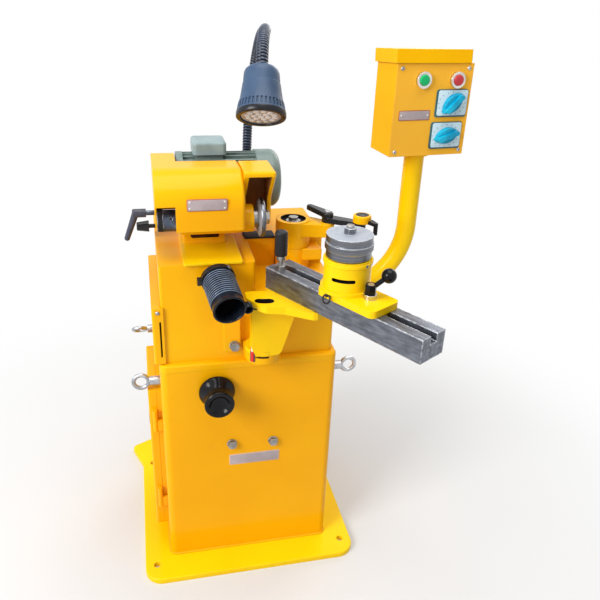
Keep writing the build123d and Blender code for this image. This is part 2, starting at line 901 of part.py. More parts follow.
# Ball bearings in both ends of the quill
bearing_xs = (housing_x[0] + 2, housing_x[1] - bearing_width)
with BuildPart() as spindle_bearings:
    for x in bearing_xs:
        rod(spindle_axis, bearing_r, x, x + bearing_width)
        rod(spindle_axis, spindle_r + run, x, x + bearing_width, Mode.SUBTRACT)
save(spindle_bearings, "spindle_bearings")


def hood_outline(plane, inset, low):
    with BuildSketch(plane) as outline:
        with BuildLine():
            face = hood_front + inset
            brow = hood_brow_r - inset
            crown = hood_top - inset
            Line((hood_rear, low), (face, low))
            Line((face, low), (face, crown - brow))
            RadiusArc((face, crown - brow), (face + brow, crown), brow)
            Line((face + brow, crown), (hood_rear, crown))
            Line((hood_rear, crown), (hood_rear, low))
        make_face()
    return outline.sketch


def belt_outline(plane, inset, low):
    with BuildSketch(plane) as outline:
        crown = hood_top - inset
        with Locations(((hood_rear + motor_y) / 2, (crown + low) / 2)):
            Rectangle(motor_y - hood_rear, crown - low)
        with Locations((motor_y, (hood_top + hood_low) / 2)):
            Circle((hood_top - hood_low) / 2 - inset)
    return outline.sketch


# Head cover: one sheet shell over quill and belt, open below
with BuildPart() as head_cover:
    extrude(hood_outline(Plane.YZ.offset(hood_x[0]), 0, hood_low), amount=hood_x[1] - hood_x[0])
    fillet(head_cover.faces().sort_by(Axis.X)[-1].edges().sort_by(Axis.Z)[1:], hood_end_round)
    extrude(belt_outline(Plane.YZ.offset(hood_x[0]), 0, hood_low), amount=belt_side - hood_x[0])
    inner = (hood_x[0] + hood_sheet, hood_x[1] - hood_sheet)
    extrude(
        hood_outline(Plane.YZ.offset(inner[0]), hood_sheet, hood_low - 1),
        amount=inner[1] - inner[0],
        mode=Mode.SUBTRACT,
    )
    extrude(
        belt_outline(Plane.YZ.offset(inner[0]), hood_sheet, hood_low - 1),
        amount=belt_side - hood_sheet - inner[0],
        mode=Mode.SUBTRACT,
    )
    block((inner[0], belt_side - hood_sheet), (belt_floor, motor_y), (hood_low, hood_low + hood_sheet))
    block(
        (hood_x[0] - 1, notch_x),
        (hood_front - 1, spindle_y - 7),
        (hood_low - 1, hood_low + notch_height),
        Mode.SUBTRACT,
    )
    rod(spindle_axis, nose_r + 0.5, inner[1] - 1, hood_x[1] + 1, Mode.SUBTRACT)
    rod(tilt_axis, tilt_stud_r + 3, hood_x[0] - 1, belt_side + 1, Mode.SUBTRACT)
    rod(motor_axis, motor_shaft_r + 9, belt_side - hood_sheet - 1, belt_side + 1, Mode.SUBTRACT)
save(head_cover, "head_cover")

# Wheel guard casting beside the cover, open to the front and below
with BuildPart() as wheel_guard:
    with BuildSketch(Plane.YZ.offset(guard_x[0])):
        with BuildLine():
            FilletPolyline(
                (guard_throat_y, guard_low),
                (guard_throat_y, guard_throat_z),
                (guard_y[0], guard_top - guard_roof),
                (guard_y[0], guard_top),
                (guard_y[1], guard_top),
                (guard_y[1], guard_low),
                radius=(0, 24, 2, guard_round, guard_round, 0),
                close=True,
            )
        make_face()
    extrude(amount=guard_x[1] - guard_x[0])
    crown = wheel_guard.edges().filter_by(Axis.Y).group_by(Axis.Z)[-1]
    fillet(crown.sort_by(Axis.X)[-1], guard_round)
    block(
        (guard_x[0] + guard_wall, guard_x[1] - guard_wall),
        (guard_y[0] - 1, guard_y[1] - guard_wall),
        (guard_low - 1, guard_top - guard_roof),
        Mode.SUBTRACT,
    )
    rod(spindle_axis, nose_r + 0.5, guard_x[0], guard_x[0] + guard_wall, Mode.SUBTRACT)
save(wheel_guard, "wheel_guard")

# Motor: finned frame on a foot, with a rounded end bell
with BuildPart() as motor_frame:
    with BuildSketch(Plane.YZ.offset(motor_x[0] + 12)):
        with Locations((motor_y, motor_z)):
            Circle(motor_core_r)
            with PolarLocations((motor_core_r + motor_fin_r) / 2 - 2, fin_count, start_angle=180 / fin_count):
                Rectangle(motor_fin_r - motor_core_r + 4, fin_thick)
    extrude(amount=motor_x[1] - motor_x[0] - 12)
    rod(motor_axis, motor_fin_r + 1, motor_x[0], motor_x[0] + 12)
    rod(motor_axis, motor_r - 1, motor_x[1], motor_bell_end)
    fillet(motor_frame.faces().sort_by(Axis.X)[-1].edges(), 18)
    foot_x = (-42 - motor_foot[0] / 2, -42 + motor_foot[0] / 2)
    foot_y = tilt_y + cheek_r + 6
    block(foot_x, (foot_y, foot_y + motor_foot[1]), (platform_top, motor_z - motor_core_r + 8))
    block(
        (terminal_x[0] + 6, terminal_x[1] - 6),
        (terminal_y[0] + 8, terminal_y[1] - 8),
        (motor_z + 40, motor_z + motor_fin_r + 1),
    )
    rod(tilt_axis, cheek_r + 1, motor_x[0], motor_x[1], Mode.SUBTRACT)
    rod(motor_axis, motor_shaft_r + run, motor_x[0], motor_x[1], Mode.SUBTRACT)
save(motor_frame, "motor_frame")

# Terminal box on top of the motor
with BuildPart() as terminal_box:
    low = motor_z + motor_fin_r + 1
    block(terminal_x, terminal_y, (low, low + terminal_height))
    fillet(terminal_box.edges().filter_by(Axis.Z), 8)
    fillet(terminal_box.faces().sort_by(Axis.Z)[-1].edges(), 6)
save(terminal_box, "terminal_box")

# Motor shaft and pulley
with BuildPart() as motor_shaft:
    rod(motor_axis, motor_shaft_r, belt_x[0] - 2, motor_x[1] - 2)
save(motor_shaft, "motor_shaft")


def pulley(axis, groove_r, shaft_r, hub_r, hub_end):
    rod(axis, groove_r + pulley_lip, belt_x[0] - 2, belt_x[0] - gap)
    rod(axis, groove_r, belt_x[0] - gap, belt_x[1] + gap)
    rod(axis, groove_r + pulley_lip, belt_x[1] + gap, belt_x[1] + 2)
    rod(axis, hub_r, belt_x[1] + 2, hub_end)
    rod(axis, shaft_r + press, belt_x[0] - 2, hub_end, Mode.SUBTRACT)


with BuildPart() as motor_pulley:
    pulley(motor_axis, motor_groove_r, motor_shaft_r, motor_shaft_r + 6, belt_side - hood_sheet - 2)
save(motor_pulley, "motor_pulley")

# Spindle with its shoulder, pulley drum, wheel and nut
wheel_seat = wheel_x[0] - 8
with BuildPart() as spindle:
    rod(spindle_axis, spindle_r, belt_x[0] - 2, wheel_seat)
    rod(spindle_axis, wheel_flange_r, wheel_seat, wheel_x[0])
    rod(spindle_axis, wheel_bore_r, wheel_x[0], wheel_x[1] + 9)
save(spindle, "spindle")

with BuildPart() as spindle_pulley:
    pulley(spindle_axis, spindle_groove_r, spindle_r, drum_r, drum_end)
    set_screw = Plane(
        origin=((belt_x[1] + drum_end) / 2 + 3, spindle_y, spindle_z),
        x_dir=(1, 0, 0),
        z_dir=(0, -0.9, 0.44),
    )
    rod(set_screw, set_screw_r, spindle_r + 1, drum_r + 1, Mode.SUBTRACT)
save(spindle_pulley, "spindle_pulley")

# Dish-shaped grinding wheel
with BuildPart() as grinding_wheel:
    turned(
        spindle_axis,
        (
            (wheel_bore_r + press, wheel_x[0]),
            (wheel_r - 9, wheel_x[0]),
            (wheel_r - 1, wheel_x[0] + 3),
            (wheel_r, wheel_x[0] + 5),
            (wheel_r, wheel_x[1] - 3),
            (wheel_r - 2, wheel_x[1] - 1),
            (wheel_r - 8, wheel_x[1]),
            (wheel_flange_r + 4, wheel_x[1] - 3),
            (wheel_flange_r, wheel_x[1]),
            (wheel_bore_r + press, wheel_x[1]),
        ),
    )
save(grinding_wheel, "grinding_wheel")

with BuildPart() as wheel_nut:
    rod(spindle_axis, wheel_flange_r - 3, wheel_x[1], wheel_x[1] + 3)
    hexagon(spindle_axis, 22, wheel_x[1] + 3, wheel_x[1] + 9)
    rod(spindle_axis, wheel_bore_r + press, wheel_x[1], wheel_x[1] + 9, Mode.SUBTRACT)
save(wheel_nut, "wheel_nut")

# Flat belt round both pulleys
with BuildPart() as drive_belt:
    with BuildSketch(Plane.YZ.offset(belt_x[0])):
        with Locations((spindle_y, spindle_z)):
            Circle(spindle_groove_r + gap + belt_thick)
        with Locations((motor_y, motor_z)):
            Circle(motor_groove_r + gap + belt_thick)
        make_hull()
    extrude(amount=belt_x[1] - belt_x[0])
    with BuildSketch(Plane.YZ.offset(belt_x[0])):
        with Locations((spindle_y, spindle_z)):
            Circle(spindle_groove_r + gap)
        with Locations((motor_y, motor_z)):
            Circle(motor_groove_r + gap)
        make_hull()
    extrude(amount=belt_x[1] - belt_x[0], mode=Mode.SUBTRACT)
save(drive_belt, "drive_belt")

# Lamp: post on the platform, bent neck, shade and lens
lamp_top = platform_top + lamp_post_height
with BuildPart() as lamp_base:
    rod(lamp_axis, lamp_foot_r, platform_top, platform_top + 6)
    rod(lamp_axis, lamp_post_r, platform_top + 6, lamp_top)
    fillet(lamp_base.faces().sort_by(Axis.Z)[-1].edges(), 3)
    rod(lamp_axis, neck_r + press, lamp_top - neck_seat, lamp_top, Mode.SUBTRACT)
save(lamp_base, "lamp_base")

neck_foot = Vector(lamp_x, lamp_y, lamp_top - neck_seat)
neck_end = neck_foot + Vector(*neck_tip)
shade_rise = Vector(*shade_up).normalized()
with BuildPart() as gooseneck:
    with BuildLine() as neck_path:
        bends = [neck_foot + Vector(*step) for step in neck_route]
        FilletPolyline(neck_foot, *bends, neck_end + shade_rise * neck_fall, neck_end, radius=neck_radii)
    with BuildSketch(Plane(origin=neck_foot, z_dir=neck_path.line % 0)):
        Circle(neck_r)
    sweep()
save(gooseneck, "gooseneck")

shade_mouth = neck_end - shade_rise * (shade_height - shade_seat)
shade_axis = Plane(origin=shade_mouth, x_dir=(1, 0, 0), z_dir=shade_rise)
with BuildPart() as lamp_shade:
    turned(shade_axis, ((0, 0), *shade_profile, (0, shade_height)))
    turned(
        shade_axis,
        (
            (0, 0),
            (lens_r + press, 0),
            (lens_r + press, lens_seat),
            (shade_profile[3][0] - shade_sheet, shade_profile[3][1]),
            (shade_profile[5][0] - 2 * shade_sheet, shade_cavity),
            (0, shade_cavity),
        ),
        Mode.SUBTRACT,
    )
    rod(shade_axis, neck_r + press, shade_height - shade_seat, shade_height, Mode.SUBTRACT)
save(lamp_shade, "lamp_shade")

with BuildPart() as lamp_lens:
    rod(shade_axis, lens_r, 2, 2 + lens_thick)
save(lamp_lens, "lamp_lens")

# Slotted rail on its own slanted frame: x along it, y across it
rail_low = ledge_z + 5 + flange_thick
rail_top = rail_low + rail_height
rail_frame = Plane(origin=(*rail_start, rail_low), x_dir=(*rail_dir, 0), z_dir=(0, 0, 1))
rail_end = Plane(origin=rail_frame.origin, x_dir=rail_frame.y_dir, z_dir=rail_frame.x_dir)


def on_rail(t, s):
    spot = rail_frame.from_local_coords((t, s, 0))
    return (spot.X, spot.Y)


with BuildPart() as rail:
    with BuildSketch(rail_end):
        with Locations((0, rail_height / 2)):
            Rectangle(rail_width, rail_height)
        with Locations((0, rail_height - throat_depth / 2)):
            Rectangle(throat, throat_depth, mode=Mode.SUBTRACT)
    extrude(amount=rail_length)
    block(
        (-1, rail_length - tee_stop),
        (-tee_width / 2, tee_width / 2),
        (rail_height - throat_depth - tee_height, rail_height - throat_depth),
        Mode.SUBTRACT,
        frame=rail_frame,
    )
    block(
        (-1, key_start + key_length + rail_travel + 3),
        (-keyway[0] / 2, keyway[0] / 2),
        (-1, keyway[1]),
        Mode.SUBTRACT,
        frame=rail_frame,
    )
    handle_hole = upright(*on_rail(handle_t, handle_s))
    rod(handle_hole, handle_post_r + press, rail_top - 14, rail_top, Mode.SUBTRACT)
save(rail, "rail")

# Bracket that swings the rail: hub and foot on the pin, web, flange and key
hub_low = lug_z + lug_thick + gap
hub_high = hub_low + hub_height
flange_low = rail_low - flange_thick
web_front = pivot_y - web_back - web_thick
with BuildPart() as rail_bracket:
    rod(pivot, bracket_hub_r, hub_low, hub_high)
    rod(pivot, lug_r, hub_low, hub_low + foot_thick)
    with BuildSketch(Plane.XZ.offset(-pivot_y + web_back)):
        with BuildLine():
            FilletPolyline(
                (pivot_x + web_left + 8, hub_low),
                (pivot_x + web_right[0], hub_low),
                (pivot_x + web_right[1], flange_low - 22),
                (pivot_x + web_right[1] + 4, flange_low),
                (pivot_x + web_left, flange_low),
                (pivot_x + web_left, hub_low + 18),
                radius=(0, 14, 30, 0, 0, 8),
                close=True,
            )
        make_face()
    extrude(amount=web_thick)
    with BuildSketch(Plane.XY.offset(flange_low)):
        with BuildLine():
            FilletPolyline(
                (pivot_x - 35, pivot_y - 2),
                (pivot_x - 35, pivot_y - 30),
                (pivot_x - 24, pivot_y - 47),
                (pivot_x - 8, pivot_y - 66),
                (pivot_x + 24, pivot_y - 74),
                on_rail(tongue_reach - 4, tongue_s[0]),
                on_rail(tongue_reach, tongue_s[0] + 6),
                on_rail(tongue_reach, tongue_s[1]),
                on_rail(3, tongue_s[1]),
                on_rail(3, -rail_width / 2),
                (pivot_x + 4, pivot_y - 2),
                radius=(6, 8, 8, 10, 10, 3, 3, 4, 4, 0, 0),
                close=True,
            )
        make_face()
        kidney = CenterArc((pivot_x, pivot_y), kidney_r, kidney_start, kidney_span, mode=Mode.PRIVATE)
        SlotArc(kidney, kidney_width, mode=Mode.SUBTRACT)
    extrude(amount=flange_thick)
    block(
        (key_start, key_start + key_length),
        (-keyway[0] / 2 + 0.2, keyway[0] / 2 - 0.2),
        (-1, keyway[1] - gap),
        frame=rail_frame,
    )
    rod(pivot, swivel_pin_r + run, hub_low, hub_high, Mode.SUBTRACT)
save(rail_bracket, "rail_bracket")

# Handle: nut, collar and post screwed in the rail, and a grip that spins on it
handle_axis = upright(*on_rail(handle_t, handle_s))
collar_low = rail_top + handle_nut[1] + 10
grip_low = collar_low + handle_collar + gap
with BuildPart() as handle_post:
    hexagon(handle_axis, handle_nut[0], rail_top, rail_top + handle_nut[1])
    rod(handle_axis, handle_collar_r, collar_low, collar_low + handle_collar)
    rod(handle_axis, handle_post_r, rail_top - 12, grip_low + grip_length - 8)
save(handle_post, "handle_post")

with BuildPart() as handle_grip:
    rod(handle_axis, grip_r, grip_low, grip_low + grip_length)
    fillet(handle_grip.faces().sort_by(Axis.Z)[-1].edges(), 5)
    fillet(handle_grip.faces().sort_by(Axis.Z)[0].edges(), 2)
    rod(handle_axis, handle_post_r + run, grip_low, grip_low + grip_length - 7, Mode.SUBTRACT)
save(handle_grip, "handle_grip")

# Blade fixture: foot on the rail, round housing, guide tongue and clamp stud
fixture_axis = upright(*on_rail(fixture_t, 0))
clamp_axis = upright(*on_rail(clamp_t, 0))
fixture_foot = rail_top + foot_plate
fixture_top = fixture_foot + fixture_height
boss_top = fixture_foot + clamp_boss
with BuildPart() as fixture_base:
    with BuildSketch(Plane(origin=(*rail_start, rail_top), x_dir=rail_frame.x_dir, z_dir=(0, 0, 1))):
        with Locations((sum(foot_t) / 2, sum(foot_s) / 2)):
            RectangleRounded(foot_t[1] - foot_t[0], foot_s[1] - foot_s[0], foot_corner)
    extrude(amount=foot_plate)
    rod(fixture_axis, fixture_r, fixture_foot, fixture_top)
    rod(fixture_axis, fixture_r + 2, fixture_top - fixture_lip - 3, fixture_top - 3)
    rod(fixture_axis, fixture_r + 4, fixture_foot, fixture_foot + 6)
    block(
        (foot_t[0] + 6, foot_t[1] - 6),
        (-throat / 2 + gap, throat / 2 - gap),
        (rail_height - throat_depth + gap, rail_height),
        frame=rail_frame,
    )
    block(
        (clamp_t - 26, clamp_t + 26),
        (-tee_width / 2 + 0.5, tee_width / 2 - 0.5),
        (rail_height - throat_depth - tee_height + 0.5, rail_height - throat_depth - gap),
        frame=rail_frame,
    )
    rod(clamp_axis, clamp_stud_r, rail_top - throat_depth - 2, boss_top + lever_hub)
    rod(clamp_axis, clamp_boss_r, fixture_foot, boss_top)
    window_dir = Vector(cos(radians(window_turn)), sin(radians(window_turn)), 0)
    window_axis = Plane(
        origin=(*on_rail(fixture_t, 0), fixture_foot + window_rise),
        x_dir=Vector(0, 0, 1).cross(window_dir),
        z_dir=window_dir,
    )
    with BuildSketch(window_axis.offset(fixture_r - window[2])):
        SlotOverall(window[0], window[1])
    extrude(amount=window[2] + 6, mode=Mode.SUBTRACT)
    rod(fixture_axis, arbor_r + run, rail_top + 4, fixture_top, Mode.SUBTRACT)
save(fixture_base, "fixture_base")

# Arbor: a vertical spindle that carries the blade discs
arbor_seat = fixture_top + gap
disc_top = arbor_seat + sum(thick for radius, thick in disc_sizes)
with BuildPart() as arbor_spindle:
    rod(fixture_axis, arbor_r, rail_top + 5, arbor_seat)
    rod(fixture_axis, arbor_stud_r, arbor_seat, disc_top + arbor_nut[1] + 4)
save(arbor_spindle, "arbor_spindle")

with BuildPart() as arbor_discs:
    level = arbor_seat
    for radius, thick in disc_sizes:
        rod(fixture_axis, radius - 1.5, level, level + 1.5)
        rod(fixture_axis, radius, level + 1.5, level + thick)
        level += thick
    hexagon(fixture_axis, arbor_nut[0], disc_top, disc_top + arbor_nut[1])
    rod(fixture_axis, arbor_stud_r + press, arbor_seat, disc_top + arbor_nut[1], Mode.SUBTRACT)
save(arbor_discs, "arbor_discs")

# Ball lever on the clamp stud
with BuildPart() as ball_lever:
    hub_mid = Vector(*on_rail(clamp_t, 0), boss_top + gap + lever_hub / 2)
    reach = Vector(*lever_reach)
    hexagon(clamp_axis, lever_hub_flats, boss_top + gap, boss_top + lever_hub)
    rod(Plane(origin=hub_mid, z_dir=reach), lever_arm_r, 0, reach.length)
    with Locations(hub_mid + reach):
        Sphere(lever_ball_r)
    rod(clamp_axis, clamp_stud_r + run, boss_top, boss_top + lever_hub, Mode.SUBTRACT)
save(ball_lever, "ball_lever")

# Index column: post on the ledge, stud, and a square boss beside it
column_top = ledge_z + column_height
with BuildPart() as index_column:
    rod(column_axis, column_r, ledge_z, column_top)
    block(boss_x, boss_y, (ledge_z + boss_z[0], ledge_z + boss_z[1]))
    rod(column_axis, stud_r, column_top, dish_z - 1)
    rod(column_axis, bolt_r + run, dish_z - 22, dish_z, Mode.SUBTRACT)
save(index_column, "index_column")

# Index arm: ring on the stud with a lumpy arm and a post for the link
ring_low = column_top + gap
arm_z = ring_low + arm_low
arm_axis = upright(*arm_end)
link_low = arm_z + arm_thick + 3
with BuildPart() as index_arm:
    rod(column_axis, column_r, ring_low, ring_top)
    with BuildSketch(Plane.XY.offset(arm_z)):
        with Locations((column_x, column_y)):
            Circle(column_r - 3)
        with Locations(arm_end):
            Circle(arm_boss_r)
        make_hull()
    extrude(amount=arm_thick)
    rod(arm_axis, arm_boss_r - 1, arm_z + arm_thick, link_low - gap)
    rod(arm_axis, post_r, link_low - gap, link_low + link_thick + 12)
    rod(column_axis, ring_dish_r, dish_z, ring_top, Mode.SUBTRACT)
    rod(column_axis, stud_r + run, ring_low, ring_top, Mode.SUBTRACT)
save(index_arm, "index_arm")

# Index link: flat bar from the arm's post to the finger, with a thumb pad behind
finger_axis = upright(*link_end)
with BuildPart() as index_link:
    with BuildSketch(Plane.XY.offset(link_low)):
        with Locations(arm_end):
            Circle(link_hub_r)
        with Locations(link_end):
            Circle(link_width / 2)
        make_hull()
    extrude(amount=link_thick)
    with BuildSketch(Plane.XY.offset(link_low + link_thick)):
        with Locations(arm_end):
            Circle(link_hub_r)
        with Locations(pad_end):
            Circle(pad_r)
        make_hull()
    extrude(amount=pad_thick)
    fillet(index_link.faces().sort_by(Axis.Z)[-1].edges(), 3)
    rod(finger_axis, post_r - 1, link_low + link_thick, link_low + link_thick + finger_knob)
    rod(arm_axis, post_r + run, link_low, link_low + link_thick + pad_thick, Mode.SUBTRACT)
save(index_link, "index_link")

# Index finger: knob ring on the link's pin and a claw that reaches the blade
finger_low = link_low + link_thick + gap
with BuildPart() as index_finger:
    rod(finger_axis, finger_knob_r, finger_low, finger_low + finger_knob)
    fillet(index_finger.faces().sort_by(Axis.Z)[-1].edges(), 3)
    with BuildSketch(Plane.XY.offset(finger_low)):
        with Locations((link_end[0] + 12, link_end[1] - 12)):
            Circle(7)
        with Locations(finger_tip):
            Circle(4)
        make_hull()
    extrude(amount=6)
    rod(upright(*finger_tip), 4, finger_low - finger_drop, finger_low + 6)
    rod(finger_axis, post_r - 1 + run, finger_low, finger_low + finger_knob, Mode.SUBTRACT)
save(index_finger, "index_finger")

# Pipe from the body's right wall up to the control box
pipe_x, pipe_y = pipe_place
box_frame = Plane(
    origin=(*box_corner, box_low),
    x_dir=(cos(radians(box_yaw)), sin(radians(box_yaw)), 0),
    z_dir=(0, 0, 1),
)
with BuildPart() as box_pipe:
    with BuildLine() as pipe_path:
        FilletPolyline(
            (body_right, pipe_y, pipe_run_z),
            (pipe_x, pipe_y, pipe_run_z),
            (pipe_x, pipe_y, box_low),
            radius=pipe_bend,
        )
    with BuildSketch(Plane(origin=pipe_path.line @ 0, z_dir=pipe_path.line % 0)):
        Circle(pipe_r)
        Circle(pipe_r - pipe_wall, mode=Mode.SUBTRACT)
    sweep()
    rod(across(pipe_y, pipe_run_z), pipe_flange_r, body_right, body_right + pipe_flange)
    rod(upright(pipe_x, pipe_y), pipe_r + 8, box_low - 6, box_low)
    rod(across(pipe_y, pipe_run_z), pipe_r - pipe_wall, body_right, body_right + pipe_flange, Mode.SUBTRACT)
    rod(upright(pipe_x, pipe_y), pipe_r - pipe_wall, box_low - 6, box_low, Mode.SUBTRACT)
save(box_pipe, "box_pipe")

# Control box: sheet shell open to the front, its top sloping back under the lid
lid_low = box_size[2] + box_sheet - lid_height
lid_frame = Plane(
    origin=box_frame.from_local_coords((0, lid_y[0], lid_low)),
    x_dir=box_frame.x_dir,
    z_dir=box_frame.z_dir * cos(radians(lid_tilt)) + box_frame.y_dir * sin(radians(lid_tilt)),
)
with BuildPart() as control_box:
    block((0, box_size[0]), (panel_thick, box_size[1]), (0, box_size[2]), frame=box_frame)
    block(
        (box_sheet, box_size[0] - box_sheet),
        (panel_thick, box_size[1] - box_sheet),
        (box_sheet, box_size[2] - box_sheet),
        Mode.SUBTRACT,
        frame=box_frame,
    )
    rod(upright(pipe_x, pipe_y), pipe_r - pipe_wall, box_low, box_low + box_sheet, Mode.SUBTRACT)
    block(
        (-1, box_size[0] + 1),
        (0, box_size[1] + 10),
        (lid_height - box_sheet, lid_height + 20),
        Mode.SUBTRACT,
        frame=lid_frame,
    )
save(control_box, "control_box")


def on_panel(x, z):
    spot = box_frame.from_local_coords((x, 0, z))
    return Plane(origin=spot, x_dir=box_frame.x_dir, z_dir=-box_frame.y_dir)


screw_xs = (screw_inset[0], panel_size[0] - screw_inset[0])
screw_zs = (screw_inset[1], panel_size[1] - screw_inset[1])
screw_places = [(x, z) for x in screw_xs for z in screw_zs]
with BuildPart() as box_panel:
    block((0, panel_size[0]), (0, panel_thick), (0, panel_size[1]), frame=box_frame)
    for place in button_places:
        rod(on_panel(*place), barrel_r + run, -panel_thick, 0, Mode.SUBTRACT)
    for place in switch_places:
        rod(on_panel(*place), switch_shaft_r + 1, -panel_thick, 0, Mode.SUBTRACT)
    for place in screw_places:
        rod(on_panel(*place), screw_shank_r + run, -panel_thick, 0, Mode.SUBTRACT)
save(box_panel, "box_panel")

# Lid over the box
lid_depth = lid_y[1] - lid_y[0]
with BuildPart() as box_lid:
    block(lid_x, (0, lid_depth), (0, lid_height), frame=lid_frame)
    block(
        (lid_x[0] + box_sheet, lid_x[1] - box_sheet),
        (box_sheet, lid_depth - box_sheet),
        (0, lid_height - box_sheet),
        Mode.SUBTRACT,
        frame=lid_frame,
    )
save(box_lid, "box_lid")

with BuildPart() as panel_screws:
    for place in screw_places:
        axis = on_panel(*place)
        rod(axis, screw_shank_r, -panel_thick, 0)
        rod(axis, screw_r, 0, 2.2)
save(panel_screws, "panel_screws")

# Push buttons: bezel with its barrel and contact block, and the moving cap
with BuildPart() as button_bezels:
    for place in button_places:
        axis = on_panel(*place)
        rod(axis, bezel_r, 0, bezel_height)
        rod(axis, barrel_r, -barrel_depth - 2, 0)
        block(
            (-contact_size[0] / 2, contact_size[0] / 2),
            (-contact_size[0] / 2, contact_size[0] / 2),
            (-barrel_depth - contact_size[1], -barrel_depth),
            frame=axis,
        )
        rod(axis, button_r + gap, -barrel_depth + 1, bezel_height, Mode.SUBTRACT)
save(button_bezels, "button_bezels")

button_names = ("start_button", "stop_button")
for name, place in zip(button_names, button_places):
    with BuildPart() as button:
        cap = bezel_height + button_proud
        rod(on_panel(*place), button_r, cap - button_length, cap)
        fillet(button.edges(), 1.5)
    save(button, name)

# Rotary switches: plate, body behind the panel and lever knob
with BuildPart() as switch_plates:
    for place in switch_places:
        with BuildSketch(on_panel(*place)):
            RectangleRounded(switch_plate[0], switch_plate[1], 4)
            Circle(switch_shaft_r + 1, mode=Mode.SUBTRACT)
        extrude(amount=switch_plate[2])
save(switch_plates, "switch_plates")

with BuildPart() as switch_bodies:
    for place in switch_places:
        axis = on_panel(*place)
        half = switch_body[0] / 2
        block((-half, half), (-half, half), (-panel_thick - switch_body[1], -panel_thick), frame=axis)
        rod(axis, switch_shaft_r + run, -panel_thick - switch_shaft, -panel_thick, Mode.SUBTRACT)
save(switch_bodies, "switch_bodies")

switch_names = ("switch_knob_upper", "switch_knob_lower")
for name, place, turn in zip(switch_names, switch_places, switch_turns):
    with BuildPart() as knob:
        axis = on_panel(*place)
        foot = switch_plate[2] + gap
        tip = Vector(switch_leaf[0] / 2, 0).rotate(Axis.Z, turn)
        bulge = Vector(0, switch_leaf[1] / 2).rotate(Axis.Z, turn)
        with BuildSketch(axis.offset(foot)):
            with BuildLine():
                ThreePointArc(-tip, bulge, tip)
                ThreePointArc(tip, -bulge, -tip)
            make_face()
        extrude(amount=switch_leaf[2], taper=12)
        with BuildSketch(axis.offset(foot)):
            SlotOverall(switch_grip[0], switch_grip[1], rotation=turn)
        extrude(amount=switch_grip[2], taper=4)
        rod(axis, switch_shaft_r, -panel_thick - switch_shaft + 2, foot)
    save(knob, name)
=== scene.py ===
import math

import bmesh
import bpy
from mathutils import Matrix, Vector


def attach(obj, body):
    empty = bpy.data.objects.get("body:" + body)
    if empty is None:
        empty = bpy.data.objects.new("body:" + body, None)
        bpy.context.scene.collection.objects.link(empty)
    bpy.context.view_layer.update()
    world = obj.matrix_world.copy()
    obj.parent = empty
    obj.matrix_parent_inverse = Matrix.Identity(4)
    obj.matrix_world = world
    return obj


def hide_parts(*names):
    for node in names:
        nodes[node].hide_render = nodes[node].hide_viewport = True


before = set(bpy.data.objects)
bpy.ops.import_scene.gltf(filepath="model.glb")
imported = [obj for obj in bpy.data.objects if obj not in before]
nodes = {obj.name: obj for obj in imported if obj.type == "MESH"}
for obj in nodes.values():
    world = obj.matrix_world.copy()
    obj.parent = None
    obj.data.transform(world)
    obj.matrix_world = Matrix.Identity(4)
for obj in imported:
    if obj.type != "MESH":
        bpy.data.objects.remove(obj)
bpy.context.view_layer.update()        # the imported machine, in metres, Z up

scene = bpy.context.scene
print("frame loaded with", len(nodes), "nodes")


# shader tools

class Wire:
    # one output socket: sums, products and comparisons of wires add Math nodes
    def __init__(self, tree, socket=None):
        self.tree = tree
        self.socket = socket

    def node(self, kind, settings=None, inputs=None, output=0):
        made = self.tree.nodes.new(kind)
        for key, value in (settings or {}).items():
            setattr(made, key, value)
        for key, value in (inputs or {}).items():
            if isinstance(value, Wire):
                self.tree.links.new(value.socket, made.inputs[key])
            else:
                made.inputs[key].default_value = value
        return Wire(self.tree, made.outputs[output])

    def maths(self, operation, first, second=0.0):
        return self.node("ShaderNodeMath", {"operation": operation}, {0: first, 1: second})

    def __add__(self, other):
        return self.maths("ADD", self, other)

    def __radd__(self, other):
        return self.maths("ADD", other, self)

    def __rsub__(self, other):
        return self.maths("SUBTRACT", other, self)

    def __mul__(self, other):
        return self.maths("MULTIPLY", self, other)

    def __rmul__(self, other):
        return self.maths("MULTIPLY", other, self)

    def __lt__(self, other):
        return self.maths("LESS_THAN", self, other)

    def __gt__(self, other):
        return self.maths("GREATER_THAN", self, other)


def startFinish(name):
    finish = bpy.data.materials.new(name)
    finish.use_nodes = True
    tree = finish.node_tree
    where = Wire(tree).node("ShaderNodeTexCoord", output="Object")
    return finish, tree.nodes["Principled BSDF"], where


def setShader(shader, sockets):
    for key, value in sockets.items():
        if isinstance(value, Wire):
            value.tree.links.new(value.socket, shader.inputs[key])
        else:
            shader.inputs[key].default_value = value


def rgb(red, green, blue):
    return (red, green, blue, 1)


def noise(where, scale, detail=2.0, rough=0.5):
    inputs = {"Vector": where, "Scale": scale, "Detail": detail, "Roughness": rough}
    return where.node("ShaderNodeTexNoise", {}, inputs)


def between(value, low, high):     # 0 below low, 1 above high
    steps = {"Value": value, "From Min": low, "From Max": high}
    return value.node("ShaderNodeMapRange", {"interpolation_type": "SMOOTHSTEP"}, steps)


def patches(where, scale, detail, rough, low, high):     # mask of the places where a noise is high
    return between(noise(where, scale, detail, rough), low, high)


def mixed(share, first, second):   # inputs 6 and 7 and output 2 are the node's colours
    return share.node("ShaderNodeMix", {"data_type": "RGBA"}, {0: share, 6: first, 7: second}, 2)


def placed(where, centre=(0, 0, 0), turn=(0, 0, 0), size=(1, 1, 1)):
    settings = {"Vector": where, "Location": centre, "Rotation": turn, "Scale": size}
    return where.node("ShaderNodeMapping", {"vector_type": "TEXTURE"}, settings)


def split(where):
    parts = where.node("ShaderNodeSeparateXYZ", {}, {"Vector": where}).socket.node
    return [Wire(where.tree, socket) for socket in parts.outputs]


def radius(across, along):
    return across.maths("SQRT", across * across + along * along)


